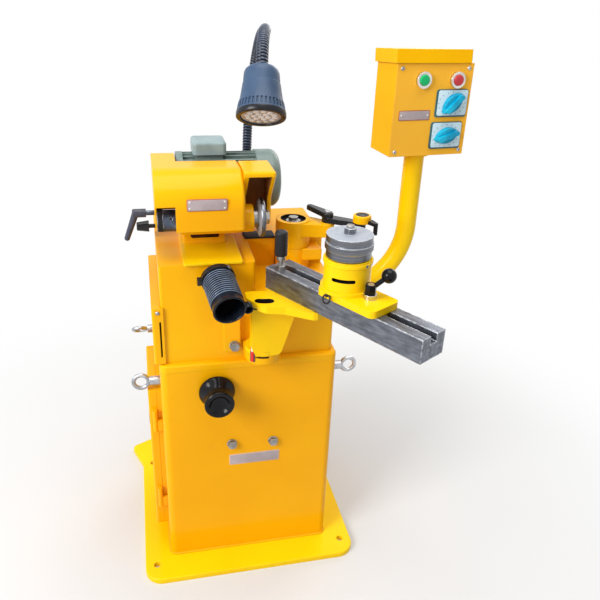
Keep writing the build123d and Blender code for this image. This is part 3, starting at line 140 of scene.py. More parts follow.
def bumped(height, strength, distance, normal):
    inputs = {"Height": height, "Strength": strength, "Distance": distance, "Normal": normal}
    return height.node("ShaderNodeBump", {}, inputs)


def softEdges(where, size, start=0.03, full=0.25, samples=4):     # rounded normal, and a mask of the edges
    soft = where.node("ShaderNodeBevel", {"samples": samples}, {"Radius": size})
    flat = where.node("ShaderNodeNewGeometry", output="Normal")
    match = where.node("ShaderNodeVectorMath", {"operation": "DOT_PRODUCT"}, {0: soft, 1: flat}, "Value")
    return soft, between(1 - match, start, full)


def inOval(where, centre, turn, size, low, high):  # mask of an upright oval space
    x, y, z = split(placed(where, centre, (0, 0, turn), size))
    return (radius(x, y) < 1) * (z > low) * (z < high)


def inRound(where, centre, reach, low, high):
    return inOval(where, centre, 0, (reach, reach, 1), low, high)


def inBox(where, low, high):
    mask = 1.0
    for axis, least, most in zip(split(where), low, high):
        mask = mask * (axis > least) * (axis < most)
    return mask


# where the rail and its fixture stand
railSet = {
    "start": Vector((0.0466, -0.1408)),
    "along": Vector((0.515, -0.857)).normalized(),
    "fixture": 0.164,
    "clamp": 0.215,
}
railTurn = math.atan2(railSet["along"].y, railSet["along"].x)


def onRail(along, across, height=0.0):
    side = Vector((-railSet["along"].y, railSet["along"].x))
    flat = railSet["start"] + railSet["along"] * along + side * across
    return Vector((flat.x, flat.y, height))


# yellow enamel on sheet and on castings, with lighter copies where light is painted in
enamelSet = {
    "sheetYellow": {
        "pale": rgb(0.92, 0.44, 0.002), "deep": rgb(0.88, 0.395, 0.001),
        "grain": 420, "relief": 0.05, "rough": 0.22, "edge": 0.0018, "gleam": 0.10,
    },
    "castYellow": {
        "pale": rgb(0.93, 0.48, 0.002), "deep": rgb(0.88, 0.40, 0.001),
        "grain": 190, "relief": 0.14, "rough": 0.28, "edge": 0.0024, "gleam": 0.10,
    },
    # painted lighter for the light falling on the tops of the base and the slide
    "litPaleYellow": {
        "pale": rgb(0.95, 0.64, 0.003), "deep": rgb(0.93, 0.57, 0.002),
        "grain": 380, "relief": 0.05, "rough": 0.22, "edge": 0.0020, "gleam": 0.10,
    },
    # painted lighter for the light falling on the pipe, the fixture and the bracket
    "litPipeYellow": {
        "pale": rgb(0.95, 0.62, 0.003), "deep": rgb(0.93, 0.55, 0.002),
        "grain": 420, "relief": 0.04, "rough": 0.22, "edge": 0.0014, "gleam": 0.10,
    },
    "boxYellow": {
        "pale": rgb(0.95, 0.50, 0.003), "deep": rgb(0.92, 0.45, 0.002),
        "grain": 520, "relief": 0.04, "rough": 0.24, "edge": 0.0014, "gleam": 0.03,
    },
    # yellow with a pale blue cast, a painted reflection on the panel
    "panelYellowReflection": {
        "pale": rgb(0.97, 0.50, 0.040), "deep": rgb(0.95, 0.46, 0.030),
        "grain": 520, "relief": 0.04, "rough": 0.26, "edge": 0.0010, "gleam": 0.10,
    },
}

# wear of all enamels, and a painted highlight on their edges: a mask has a noise's scale, detail and
# roughness, and the levels it rises between
enamelWear = {
    "cloud": (4, 3, 0.5, 0.3, 0.7),
    "grime": (26, 6, 0.62, 0.62, 0.84), "grimeTone": rgb(0.42, 0.15, 0.004),
    "grimeShare": 0.16, "grimeRough": 0.2,
    # edges painted a paler yellow as a highlight
    "edgeHighlight": rgb(0.96, 0.60, 0.03), "edgeHighlightShare": 0.22,
    "chips": (150, 4, 0.6, 0.64, 0.68), "chipTone": rgb(0.30, 0.24, 0.18),
    "chipShare": 0.7, "chipRough": 0.3,
    "wave": 38, "waveShare": 0.8, "depth": 0.002,
    "coatShare": 0.5, "coatRough": 0.06,
}

# places on enamelled parts that are bare, dark or painted with shade: form, place, colour, added roughness,
# metal share
spotTone = {
    "black": rgb(0.010, 0.010, 0.011),
    "steel": rgb(0.52, 0.52, 0.54),
    "paintedShadeBrown": rgb(0.30, 0.115, 0.030),
}
spotSet = {
    "indexYellow": (
        ("round", ((0.100, -0.020, 0), 0.0246, 0.7135, 0.7199), "black", 0.1, 0.0),
        ("round", ((0.160, -0.050, 0), 0.0065, 0.7214, 0.80), "steel", 0.08, 1.0),
    ),
    "fixtureYellow": (
        ("round", (onRail(railSet["clamp"], 0), 0.0113, 0.6922, 0.80), "steel", 0.05, 1.0),
        ("round", (onRail(railSet["fixture"], 0), 0.0376, 0.7138, 0.7222), "black", 0.3, 0.0),
    ),
    "bracketYellowSlotShade": (
        # the curved slot in the bracket's flange is painted black as shade
        ("oval", ((0.0120, -0.2060, 0), -0.15, (0.0205, 0.0125, 1), 0.6262, 0.6396), "black", 0.3, 0.0),
    ),
    "guardYellowInsideShade": (
        # the inside of the wheel guard is painted dark brown as shade
        ("box", ((0.0, -0.12, 0.70), (0.040, -0.034, 0.8268)), "paintedShadeBrown", 0.3, 0.0),
    ),
    "fingerYellow": (
        ("round", ((0.216, -0.088, 0), 0.0125, 0.7450, 0.80), "black", 0.1, 0.0),
        ("beyond", ((0.216, -0.088, 0), 0.0173, 0.60, 0.80), "black", 0.1, 0.0),
    ),
}


def beyondRound(where, *place):
    return 1 - inRound(where, *place)


spotForm = {"box": inBox, "oval": inOval, "round": inRound, "beyond": beyondRound}


def enamel(kind, spots=None):
    o = {**enamelWear, **enamelSet[kind]}
    finish, shader, where = startFinish(spots or kind)
    soft, edge = softEdges(where, o["edge"])
    grime = patches(where, *o["grime"])
    chips = edge * patches(where, *o["chips"])
    tone = mixed(patches(where, *o["cloud"]), o["deep"], o["pale"])
    tone = mixed(grime * o["grimeShare"], tone, o["grimeTone"])
    # paler edges: a painted highlight
    tone = mixed(edge * o["edgeHighlightShare"], tone, o["edgeHighlight"])
    tone = mixed(chips * o["chipShare"], tone, o["chipTone"])
    rough = o["rough"] + grime * o["grimeRough"] + chips * o["chipRough"]
    shine = 0.0
    for form, place, colour, rougher, metallic in spotSet.get(spots, ()):
        inside = spotForm[form](where, *place)
        tone = mixed(inside, tone, spotTone[colour])
        rough = rough + inside * rougher
        shine = shine + inside * metallic
    peel = noise(where, o["grain"]) + noise(where, o["wave"]) * o["waveShare"]
    setShader(shader, {
        "Base Color": tone,
        "Roughness": rough,
        "Metallic": shine,
        "Specular IOR Level": o["gleam"],
        "Coat Weight": o["gleam"] * o["coatShare"],
        "Coat Roughness": o["coatRough"],
        "Normal": bumped(peel, o["relief"], o["depth"], soft),
    })
    return finish


# bare, plated and blackened metal
metalSet = {
    "railSteel": {
        "pale": rgb(0.235, 0.255, 0.300), "dark": rgb(0.105, 0.113, 0.135),
        "rough": 0.34, "gloss": 0.9, "edge": 0.0035, "turn": railTurn, "stretch": (0.030, 0.006, 0.006),
    },
    "boltSteel": {
        "pale": rgb(0.52, 0.51, 0.50), "dark": rgb(0.22, 0.21, 0.20),
        "rough": 0.30, "gloss": 1.0, "edge": 0.0012,
    },
    "blackSteel": {
        "pale": rgb(0.016, 0.017, 0.020), "dark": rgb(0.006, 0.006, 0.007),
        "rough": 0.20, "gloss": 0.3, "edge": 0.0012,
    },
    "blueSteel": {
        "pale": rgb(0.15, 0.19, 0.27), "dark": rgb(0.045, 0.055, 0.08),
        "rough": 0.30, "gloss": 0.8, "edge": 0.0012,
    },
    "zincPlate": {
        "pale": rgb(0.66, 0.67, 0.70), "dark": rgb(0.36, 0.36, 0.38),
        "rough": 0.24, "gloss": 1.0, "edge": 0.0012,
    },
    "bezelChrome": {
        "pale": rgb(0.80, 0.76, 0.72), "dark": rgb(0.60, 0.57, 0.54),
        "rough": 0.16, "gloss": 1.0, "edge": 0.0012,
    },
}

# wear of all metals, with masks as for enamel; edges wear pale where the gloss is above bare
metalWear = {
    "turn": 0.0, "stretch": (0.02, 0.02, 0.02),
    "streaks": (1.0, 5, 0.6), "streakLevels": (0.3, 0.72), "streakRough": 0.1,
    "stains": (42, 5, 0.6, 0.42, 0.75), "stainShare": 0.5, "stainRough": 0.16,
    "edgeLevels": (0.01, 0.10), "bare": 0.5,
    "worn": (90, 3, 0.5, 0.35, 0.6), "wornTone": rgb(0.80, 0.83, 0.88), "wornShare": 0.8,
    "grain": 700, "grainShare": 0.5, "relief": 0.12, "depth": 0.0008,
}


def metal(name):
    o = {**metalWear, **metalSet[name]}
    finish, shader, where = startFinish(name)
    soft, edge = softEdges(where, o["edge"], *o["edgeLevels"])
    streaks = noise(placed(where, turn=(0, 0, o["turn"]), size=o["stretch"]), *o["streaks"])
    stains = patches(where, *o["stains"])
    tone = mixed(between(streaks, *o["streakLevels"]), o["dark"], o["pale"])
    tone = mixed(stains * o["stainShare"], tone, o["dark"])
    if o["gloss"] > o["bare"]:
        worn = edge * patches(where, *o["worn"])
        tone = mixed(worn * o["wornShare"], tone, o["wornTone"])
    relief = streaks + noise(where, o["grain"]) * o["grainShare"]
    setShader(shader, {
        "Base Color": tone,
        "Roughness": o["rough"] + stains * o["stainRough"] + streaks * o["streakRough"],
        "Metallic": o["gloss"],
        "Normal": bumped(relief, o["relief"], o["depth"], soft),
    })
    return finish


# turned steel: fine rings round an axis, a paler face, and a painted highlight on its edges
turnedSet = {
    "pale": rgb(0.25, 0.26, 0.285), "dark": rgb(0.10, 0.105, 0.12), "rough": 0.24,
    "rings": 900, "ringDetail": 3.0, "ringLevels": (0.3, 0.7), "ringRough": 0.12,
    "relief": 0.08, "depth": 0.0006,
    "face": rgb(0.46, 0.50, 0.56), "faceLevels": (0.5, 0.9), "faceShare": 0.85, "faceRough": 0.36,
    "stains": (55, 5, 0.6, 0.45, 0.8), "stainShare": 0.25, "stainRough": 0.15,
    # edges painted pale as a highlight
    "edge": 0.0018, "edgeHighlight": rgb(0.86, 0.87, 0.90), "edgeHighlightShare": 0.8,
}


def turnedSteel(name, centre, upright):
    o = turnedSet
    finish, shader, where = startFinish(name)
    soft, edge = softEdges(where, o["edge"])
    x, y, z = split(placed(where, centre))
    reach, level = (radius(x, y), z) if upright else (radius(y, z), x)
    inputs = {"W": (reach + level) * o["rings"], "Scale": 1.0, "Detail": o["ringDetail"]}
    groove = where.node("ShaderNodeTexNoise", {"noise_dimensions": "1D"}, inputs)
    stains = patches(where, *o["stains"])
    tone = mixed(between(groove, *o["ringLevels"]), o["dark"], o["pale"])
    facing = split(where.node("ShaderNodeNewGeometry", output="Normal"))[2 if upright else 0]
    flat = between(facing * facing, *o["faceLevels"])
    tone = mixed(flat * o["faceShare"], tone, o["face"])
    tone = mixed(stains * o["stainShare"], tone, o["dark"])
    # pale edges: a painted highlight
    tone = mixed(edge * o["edgeHighlightShare"], tone, o["edgeHighlight"])
    rough = o["rough"] + groove * o["ringRough"] + stains * o["stainRough"] + flat * o["faceRough"]
    setShader(shader, {
        "Base Color": tone,
        "Roughness": rough,
        "Metallic": 1.0,
        "Normal": bumped(groove, o["relief"], o["depth"], soft),
    })
    return finish


# moulded plastics, rubber and motor paint: two tones, grain and gloss
mouldedSet = {
    "motorGrey": {
        "tone": rgb(0.195, 0.255, 0.235), "shade": rgb(0.15, 0.20, 0.185),
        "grain": 300, "relief": 0.2, "rough": 0.34, "coat": 0.1, "gleam": 0.2,
    },
    "terminalGrey": {
        "tone": rgb(0.27, 0.36, 0.375), "shade": rgb(0.21, 0.285, 0.30),
        "grain": 300, "relief": 0.2, "rough": 0.34, "coat": 0.1, "gleam": 0.2,
    },
    # dark brown for the sheet of painted shadow on the pedestal, and for the marks on the lug
    "shadowAndMarkBrown": {
        "tone": rgb(0.055, 0.016, 0.004), "shade": rgb(0.03, 0.009, 0.003),
        "grain": 300, "relief": 0.1, "rough": 0.6, "coat": 0.0, "gleam": 0.1,
    },
    # the lamp's rim band: a black rim, darker still as painted shade at the mouth
    "shadeRimShaded": {
        "tone": rgb(0.016, 0.017, 0.022), "shade": rgb(0.008, 0.008, 0.011),
        "grain": 900, "relief": 0.05, "rough": 0.24, "coat": 0.1, "gleam": 0.2,
    },
    "blackPlastic": {
        "tone": rgb(0.008, 0.008, 0.010), "shade": rgb(0.003, 0.003, 0.004),
        "grain": 900, "relief": 0.04, "rough": 0.1, "coat": 0.05, "gleam": 0.15,
    },
    "gripRubber": {
        "tone": rgb(0.014, 0.014, 0.017), "shade": rgb(0.007, 0.007, 0.009),
        "grain": 800, "relief": 0.2, "rough": 0.42, "coat": 0.0, "gleam": 0.3,
    },
    # dark plastic tinted blue: a painted bluish sheen
    "shadeBlackSheen": {
        "tone": rgb(0.032, 0.070, 0.140), "shade": rgb(0.025, 0.055, 0.112),
        "grain": 1100, "relief": 0.08, "rough": 0.42, "coat": 0.05, "gleam": 0.38,
    },
    "neckBlack": {
        "tone": rgb(0.008, 0.013, 0.028), "shade": rgb(0.004, 0.006, 0.013),
        "grain": 900, "relief": 0.05, "rough": 0.18, "coat": 0.05, "gleam": 0.18,
    },
    "hoseBlack": {
        "tone": rgb(0.011, 0.016, 0.028), "shade": rgb(0.004, 0.005, 0.008),
        "grain": 500, "relief": 0.08, "rough": 0.17, "coat": 0.05, "gleam": 0.18,
    },
    # paler rib crests: a painted highlight
    "neckCrestGlint": {
        "tone": rgb(0.048, 0.068, 0.115), "shade": rgb(0.030, 0.042, 0.072),
        "grain": 900, "relief": 0.05, "rough": 0.22, "coat": 0.05, "gleam": 0.4,
    },
    # paler bluish rib crests: a painted highlight
    "hoseCrestGlint": {
        "tone": rgb(0.125, 0.175, 0.260), "shade": rgb(0.075, 0.105, 0.160),
        "grain": 500, "relief": 0.08, "rough": 0.22, "coat": 0.05, "gleam": 0.4,
    },
    "leverGrey": {
        "tone": rgb(0.052, 0.056, 0.084), "shade": rgb(0.028, 0.030, 0.048),
        "grain": 500, "relief": 0.06, "rough": 0.24, "coat": 0.1, "gleam": 0.3,
    },
    "beltRubber": {
        "tone": rgb(0.02, 0.02, 0.02), "shade": rgb(0.01, 0.01, 0.01),
        "grain": 600, "relief": 0.2, "rough": 0.6, "coat": 0.0, "gleam": 0.2,
    },
    "startGreen": {
        "tone": rgb(0.002, 0.52, 0.16), "shade": rgb(0.001, 0.38, 0.11),
        "grain": 700, "relief": 0.03, "rough": 0.2, "coat": 0.2, "gleam": 0.2,
    },
    "stopRed": {
        "tone": rgb(0.64, 0.055, 0.065), "shade": rgb(0.46, 0.03, 0.04),
        "grain": 700, "relief": 0.03, "rough": 0.2, "coat": 0.2, "gleam": 0.2,
    },
    "switchCyan": {
        "tone": rgb(0.010, 0.52, 0.76), "shade": rgb(0.0, 0.27, 0.46),
        "grain": 700, "relief": 0.03, "rough": 0.2, "coat": 0.2, "gleam": 0.2,
    },
    "plateBlue": {
        "tone": rgb(0.64, 0.81, 0.88), "shade": rgb(0.55, 0.72, 0.80),
        "grain": 900, "relief": 0.03, "rough": 0.3, "coat": 0.1, "gleam": 0.2,
    },
    "plateRim": {
        "tone": rgb(0.030, 0.14, 0.16), "shade": rgb(0.02, 0.08, 0.10),
        "grain": 900, "relief": 0.04, "rough": 0.35, "coat": 0.2, "gleam": 0.3,
    },
    "markInk": {
        "tone": rgb(0.05, 0.06, 0.08), "shade": rgb(0.03, 0.035, 0.05),
        "grain": 900, "relief": 0.02, "rough": 0.4, "coat": 0.0, "gleam": 0.3,
    },
    "plateLilac": {
        "tone": rgb(0.47, 0.385, 0.395), "shade": rgb(0.38, 0.315, 0.325),
        "grain": 260, "relief": 0.06, "rough": 0.34, "coat": 0.1, "gleam": 0.3,
    },
    "plateBorder": {
        "tone": rgb(0.52, 0.15, 0.06), "shade": rgb(0.38, 0.10, 0.04),
        "grain": 400, "relief": 0.05, "rough": 0.36, "coat": 0.1, "gleam": 0.3,
    },
    "plateLip": {
        "tone": rgb(0.83, 0.60, 0.42), "shade": rgb(0.70, 0.44, 0.26),
        "grain": 400, "relief": 0.05, "rough": 0.36, "coat": 0.1, "gleam": 0.3,
    },
    "pointerRed": {
        "tone": rgb(0.62, 0.015, 0.015), "shade": rgb(0.45, 0.01, 0.012),
        "grain": 500, "relief": 0.04, "rough": 0.3, "coat": 0.1, "gleam": 0.3,
    },
    "scaleWhite": {
        "tone": rgb(0.80, 0.78, 0.72), "shade": rgb(0.66, 0.63, 0.57),
        "grain": 500, "relief": 0.04, "rough": 0.4, "coat": 0.1, "gleam": 0.3,
    },
    "lensPanel": {
        "tone": rgb(0.40, 0.33, 0.29), "shade": rgb(0.27, 0.22, 0.19),
        "grain": 300, "relief": 0.1, "rough": 0.25, "coat": 0.2, "gleam": 0.4,
    },
    "lensDome": {
        "tone": rgb(0.74, 0.67, 0.63), "shade": rgb(0.50, 0.42, 0.38),
        "grain": 120, "relief": 0.3, "rough": 0.10, "coat": 0.5, "gleam": 0.6,
    },
}

# what all moulded finishes share
mouldedWear = {
    "edge": 0.0010,
    "cloud": (30, 4, 0.6, 0.3, 0.7),
    "dull": (65, 5, 0.6), "dullRough": 0.1,
    "depth": 0.0008,
    "coatRough": 0.1,
}


def moulded(name):
    o = {**mouldedWear, **mouldedSet[name]}
    finish, shader, where = startFinish(name)
    soft = softEdges(where, o["edge"])[0]
    setShader(shader, {
        "Base Color": mixed(patches(where, *o["cloud"]), o["shade"], o["tone"]),
        "Roughness": o["rough"] + noise(where, *o["dull"]) * o["dullRough"],
        "Specular IOR Level": o["gleam"],
        "Coat Weight": o["coat"],
        "Coat Roughness": o["coatRough"],
        "Normal": bumped(noise(where, o["grain"]), o["relief"], o["depth"], soft),
    })
    return finish


# which finish each CAD node wears
discMiddle = onRail(railSet["fixture"], 0)
wheelMiddle = (0, -0.088, 0.748)
sheetYellow = enamel("sheetYellow")
blackSteel = metal("blackSteel")
zincPlate = metal("zincPlate")
mould = {name: moulded(name) for name in mouldedSet}
finishOf = {
    sheetYellow: ("cabinet", "door_hinges", "side_cover", "cabinet_door", "head_cover"),
    enamel("litPaleYellow"): ("base_plate", "slide_plate"),
    enamel("litPipeYellow"): ("box_pipe",),
    enamel("castYellow"): ("upper_body", "pedestal", "spindle_housing", "index_column"),
    enamel("castYellow", "indexYellow"): ("index_arm",),
    enamel("litPipeYellow", "fixtureYellow"): ("fixture_base",),
    enamel("litPipeYellow", "bracketYellowSlotShade"): ("rail_bracket",),
    enamel("castYellow", "guardYellowInsideShade"): ("wheel_guard",),
    enamel("castYellow", "fingerYellow"): ("index_finger",),
    enamel("boxYellow"): ("control_box", "box_lid"),
    enamel("panelYellowReflection"): ("box_panel",),
    metal("railSteel"): ("rail",),
    metal("boltSteel"): ("m10_bolts", "swivel_pin", "feed_shaft", "spindle_bearings", "spindle", "wheel_nut",
                         "motor_shaft", "handle_post", "arbor_spindle", "panel_screws"),
    blackSteel: ("lock_knob", "motor_pulley", "index_link", "hose_clamp"),
    metal("blueSteel"): ("spindle_pulley", "tilt_pin"),
    zincPlate: ("eye_bolts",),
    metal("bezelChrome"): ("button_bezels",),
    turnedSteel("discSteel", discMiddle, True): ("arbor_discs",),
    turnedSteel("wheelSteel", wheelMiddle, False): ("grinding_wheel",),
    mould["motorGrey"]: ("motor_frame",),
    mould["terminalGrey"]: ("terminal_box",),
    mould["blackPlastic"]: ("feed_knob", "door_latch", "lamp_base", "ball_lever", "switch_bodies"),
    mould["leverGrey"]: ("tilt_lever",),
    mould["gripRubber"]: ("handle_grip",),
    mould["shadeBlackSheen"]: ("lamp_shade",),
    mould["neckBlack"]: ("gooseneck",),
    mould["hoseBlack"]: ("dust_hose",),
    mould["beltRubber"]: ("drive_belt",),
    mould["startGreen"]: ("start_button",),
    mould["stopRed"]: ("stop_button",),
    mould["switchCyan"]: ("switch_knob_upper", "switch_knob_lower"),
    mould["plateBlue"]: ("switch_plates",),
    mould["lensPanel"]: ("lamp_lens",),
}
for finish, names in finishOf.items():
    for name in names:
        for place in nodes[name].material_slots:
            place.material = finish
print("CAD nodes finished:", sum(len(names) for names in finishOf.values()))


# mesh tools

def axisPlace(origin, along, side=(1, 0, 0)):     # local Z runs along, local X lies towards side
    up = Vector(along).normalized()
    right = Vector(side) - up * up.dot(Vector(side))
    right.normalize()
    turn = Matrix((right, up.cross(right), up)).transposed()
    return Matrix.Translation(origin) @ turn.to_4x4()


def roundOff(shape, edges, size, segments):
    bmesh.ops.bevel(shape, geom=edges, offset=size, offset_type="OFFSET", segments=segments, profile=0.5,
                    affect="EDGES", material=-1, clamp_overlap=True)


def shifted(pairs, reach, height):     # (radius, height) pairs, moved out and up
    return [(reach + out, height + up) for out, up in pairs]


def lathe(outline, steps, closed=False, weld=1e-6):     # (radius, height) pairs, spun round Z
    shape = bmesh.new()
    points = [shape.verts.new((reach, 0, height)) for reach, height in outline]
    edges = [shape.edges.new(pair) for pair in zip(points, points[1:])]
    if closed:
        edges.append(shape.edges.new((points[-1], points[0])))
    bmesh.ops.spin(shape, geom=points + edges, cent=(0, 0, 0), axis=(0, 0, 1), angle=2 * math.pi, steps=steps,
                   use_merge=True)
    bmesh.ops.remove_doubles(shape, verts=shape.verts, dist=weld)
    bmesh.ops.recalc_face_normals(shape, faces=shape.faces)
    return shape


def slab(width, height, thick, corner, lip, cornerSteps=6, lipSteps=2):     # rounded plate on the XY plane
    shape = bmesh.new()
    bmesh.ops.create_cube(shape, size=1)
    bmesh.ops.scale(shape, vec=(width, height, thick), verts=shape.verts)
    bmesh.ops.translate(shape, vec=(0, 0, thick / 2), verts=shape.verts)
    upright = [e for e in shape.edges if abs(e.verts[0].co.z - e.verts[1].co.z) > thick / 2]
    roundOff(shape, upright, corner, cornerSteps)
    top = [e for e in shape.edges if min(v.co.z for v in e.verts) > thick / 2]
    roundOff(shape, top, lip, lipSteps)
    return shape


def dome(reach, height, steps=16, rows=5):
    turns = [math.pi / 2 * row / rows for row in range(rows + 1)]
    curve = [(reach * math.cos(turn), height * math.sin(turn)) for turn in turns]
    return lathe([(0.0, 0.0)] + curve, steps)


def ring(middle, wire, steps=32, sides=12):
    turns = [2 * math.pi * side / sides for side in range(sides)]
    outline = [(middle + wire * math.cos(turn), wire * math.sin(turn)) for turn in turns]
    return lathe(outline, steps, closed=True)


def addTo(target, shape, place, paint=0):
    bmesh.ops.transform(shape, matrix=place, verts=shape.verts)
    for face in shape.faces:
        face.material_index = paint
    carrier = bpy.data.meshes.new("carrier")
    shape.to_mesh(carrier)
    shape.free()
    target.from_mesh(carrier)
    bpy.data.meshes.remove(carrier)


def newPiece(name, shape, finishes, body, standsFor=(), sharp=38):
    mesh = bpy.data.meshes.new(name)
    shape.to_mesh(mesh)
    shape.free()
    for finish in finishes:
        mesh.materials.append(finish)
    mesh.shade_smooth()
    mesh.set_sharp_from_angle(angle=math.radians(sharp))
    piece = bpy.data.objects.new(name, mesh)
    scene.collection.objects.link(piece)
    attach(piece, body)
    if standsFor:
        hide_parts(*standsFor)
    print("piece", name, "with", len(mesh.polygons), "faces")


# ribbed dust hose and its branch: ends are (radius, height) steps, ribs are shares of pitch and rise
hoseSet = {
    "start": (-0.061, -0.141, 0.660), "reach": (0.011, -0.088, -0.023), "steps": 72, "sharp": 50,
    "ribs": 12, "pitch": 0.0052, "cuff": 0.014, "mouth": 0.016, "floor": 0.006,
    "crest": 0.029, "glintBand": 0.0007, "valley": 0.0258, "bore": 0.0245, "cuffBore": 0.016,
    "cuffStart": ((-0.0008, 0.0), (0.0, 0.001)),
    "cuffEnd": ((0.0, -0.0012),),
    "rib": ((0.0, 0.0), (0.10, 0.35), (0.22, 0.85), (0.36, 1.0),
            (0.50, 1.0), (0.64, 0.85), (0.76, 0.35), (0.88, 0.0)),
    "mouthStart": ((-0.0012, 0.002),),
    "mouthEnd": ((-0.0010, -0.0035), (-0.0002, -0.0022), (0.0, -0.0010), (-0.0009, 0.0)),
    "boreEnd": ((0.0012, 0.0), (0.0, -0.002)),
    "boreRib": ((0.75, 0.0), (0.25, -0.0012)),
}
branchSet = {
    "place": (0.032, -0.004), "reach": 0.009, "bore": 0.0066, "proud": 0.001, "steps": 32,
    "root": ((0.55, 0.0), (0.9, 0.002), (1.0, 0.005)),
    "end": ((0.0, -0.002), (-0.0006, 0.0)),
    "boreEnd": ((0.0004, 0.0), (0.0, -0.001)),
    "boreFoot": 0.004, "floor": 0.003,
}


def hoseOutline(ribsEnd, end):
    o = hoseSet
    outline = [(o["cuffBore"], 0.0)]
    outline += shifted(o["cuffStart"], o["crest"], 0.0)
    outline += shifted(o["cuffEnd"], o["crest"], o["cuff"])
    for rib in range(o["ribs"]):
        for share, rise in o["rib"]:
            reach = o["valley"] + (o["crest"] - o["valley"]) * rise
            outline.append((reach, o["cuff"] + (rib + share) * o["pitch"]))
    outline.append((o["valley"], ribsEnd))
    outline += shifted(o["mouthStart"], o["crest"], ribsEnd)
    outline += shifted(o["mouthEnd"], o["crest"], end)
    outline += shifted(o["boreEnd"], o["bore"], end)
    for rib in reversed(range(o["ribs"])):
        for share, out in o["boreRib"]:
            outline.append((o["bore"] + out, o["cuff"] + (rib + share) * o["pitch"] + o["floor"]))
    outline += [(o["bore"], o["cuff"] + o["floor"]), (o["cuffBore"], o["cuff"] + o["floor"])]
    return outline


def branchOutline(low, high):
    o = branchSet
    outline = [(0.0, low)]
    outline += [(o["reach"] * share, low + up) for share, up in o["root"]]
    outline += shifted(o["end"], o["reach"], high)
    outline += shifted(o["boreEnd"], o["bore"], high)
    outline += [(o["bore"], low + o["boreFoot"]), (0.0, low + o["floor"])]
    return outline


def buildHose():
    o = hoseSet
    place = axisPlace(o["start"], o["reach"])
    ribsEnd = o["cuff"] + o["ribs"] * o["pitch"]
    end = ribsEnd + o["mouth"]
    hose = bmesh.new()
    addTo(hose, lathe(hoseOutline(ribsEnd, end), o["steps"], closed=True), place)
    # crest faces of the ribs take the second finish, a painted highlight
    for face in hose.faces:
        spot = place.inverted() @ face.calc_center_median()
        face.material_index = o["cuff"] < spot.z < ribsEnd and spot.xy.length > o["crest"] - o["glintBand"]
    spout = branchOutline(ribsEnd + branchSet["proud"], end + branchSet["proud"])
    sideways = Matrix.Translation((*branchSet["place"], 0))
    addTo(hose, lathe(spout, branchSet["steps"]), place @ sideways)
    finishes = [mould["hoseBlack"], mould["hoseCrestGlint"]]
    newPiece("ribbedHose", hose, finishes, "frame", ["dust_hose"], o["sharp"])


buildHose()


# ribbed gooseneck on a smooth line through the neck's bends
neckSet = {
    "foot": Vector((0.030, 0.115, 0.800)),
    "bends": ((0, 0, 0.090), (0.018, -0.018, 0.233), (0.010, -0.145, 0.261)),
    "tip": Vector((-0.0264, -0.313, 0.2093)),
    "rise": Vector((0.09, 0.5, 0.861)).normalized(),
    "fall": 0.055, "order": 3, "fineness": 40,
    "crest": 0.0095, "shoulder": 0.0003, "valley": 0.0078,
    # the crest rings take the second finish, a painted highlight
    "pitch": 0.0056, "paints": (0, 1, 1, 0), "sides": 20, "sharp": 60,
}


def neckLine():
    o = neckSet
    points = [o["foot"]] + [o["foot"] + Vector(bend) for bend in o["bends"]]
    points += [o["foot"] + o["tip"] + o["rise"] * o["fall"], o["foot"] + o["tip"]]
    curve = bpy.data.curves.new("neckRoute", "CURVE")
    curve.dimensions = "3D"
    spline = curve.splines.new("NURBS")
    spline.points.add(len(points) - 1)
    for target, point in zip(spline.points, points):
        target.co = (*point, 1)
    spline.order_u = o["order"]
    spline.use_endpoint_u = True
    spline.resolution_u = o["fineness"]
    carrier = bpy.data.objects.new("neckRoute", curve)
    line = bpy.data.meshes.new_from_object(carrier)
    route = [vert.co.copy() for vert in line.vertices]
    bpy.data.objects.remove(carrier)
    bpy.data.curves.remove(curve)
    bpy.data.meshes.remove(line)
    return route


def evenly(route, step):           # points and directions at equal steps along a route
    found = []
    left = 0.0
    for first, second in zip(route, route[1:]):
        run = (second - first).length
        while left <= run:
            found.append((first.lerp(second, left / run), (second - first).normalized()))
            left += step
        left -= run
    return found


def ringTube(stations, reaches, sides, side=(1, 0, 0), closed=False, paints=(0,)):
    shape = bmesh.new()
    rings = []
    for (point, along), reach in zip(stations, reaches):
        place = axisPlace(point, along, side)
        made = bmesh.ops.create_circle(shape, segments=sides, radius=reach, matrix=place)
        rings.append([e for v in made["verts"] for e in v.link_edges])
    if closed:
        rings.append(rings[0])
    for count, (first, second) in enumerate(zip(rings, rings[1:])):
        band = bmesh.ops.bridge_loops(shape, edges=list(set(first + second)))
        for face in band["faces"]:
            face.material_index = paints[count % len(paints)]
    return shape


def buildNeck():
    o = neckSet
    shoulder = o["crest"] - o["shoulder"]
    levels = (o["valley"], shoulder, o["crest"], shoulder)
    stations = evenly(neckLine(), o["pitch"] / len(levels))
    reaches = [levels[count % len(levels)] for count in range(len(stations))]
    neck = ringTube(stations, reaches, o["sides"], paints=o["paints"])
    bmesh.ops.holes_fill(neck, edges=[e for e in neck.edges if e.is_boundary], sides=0)
    bmesh.ops.recalc_face_normals(neck, faces=neck.faces)
    finishes = [mould["neckBlack"], mould["neckCrestGlint"]]
    newPiece("ribbedNeck", neck, finishes, "head", ["gooseneck"], o["sharp"])


buildNeck()


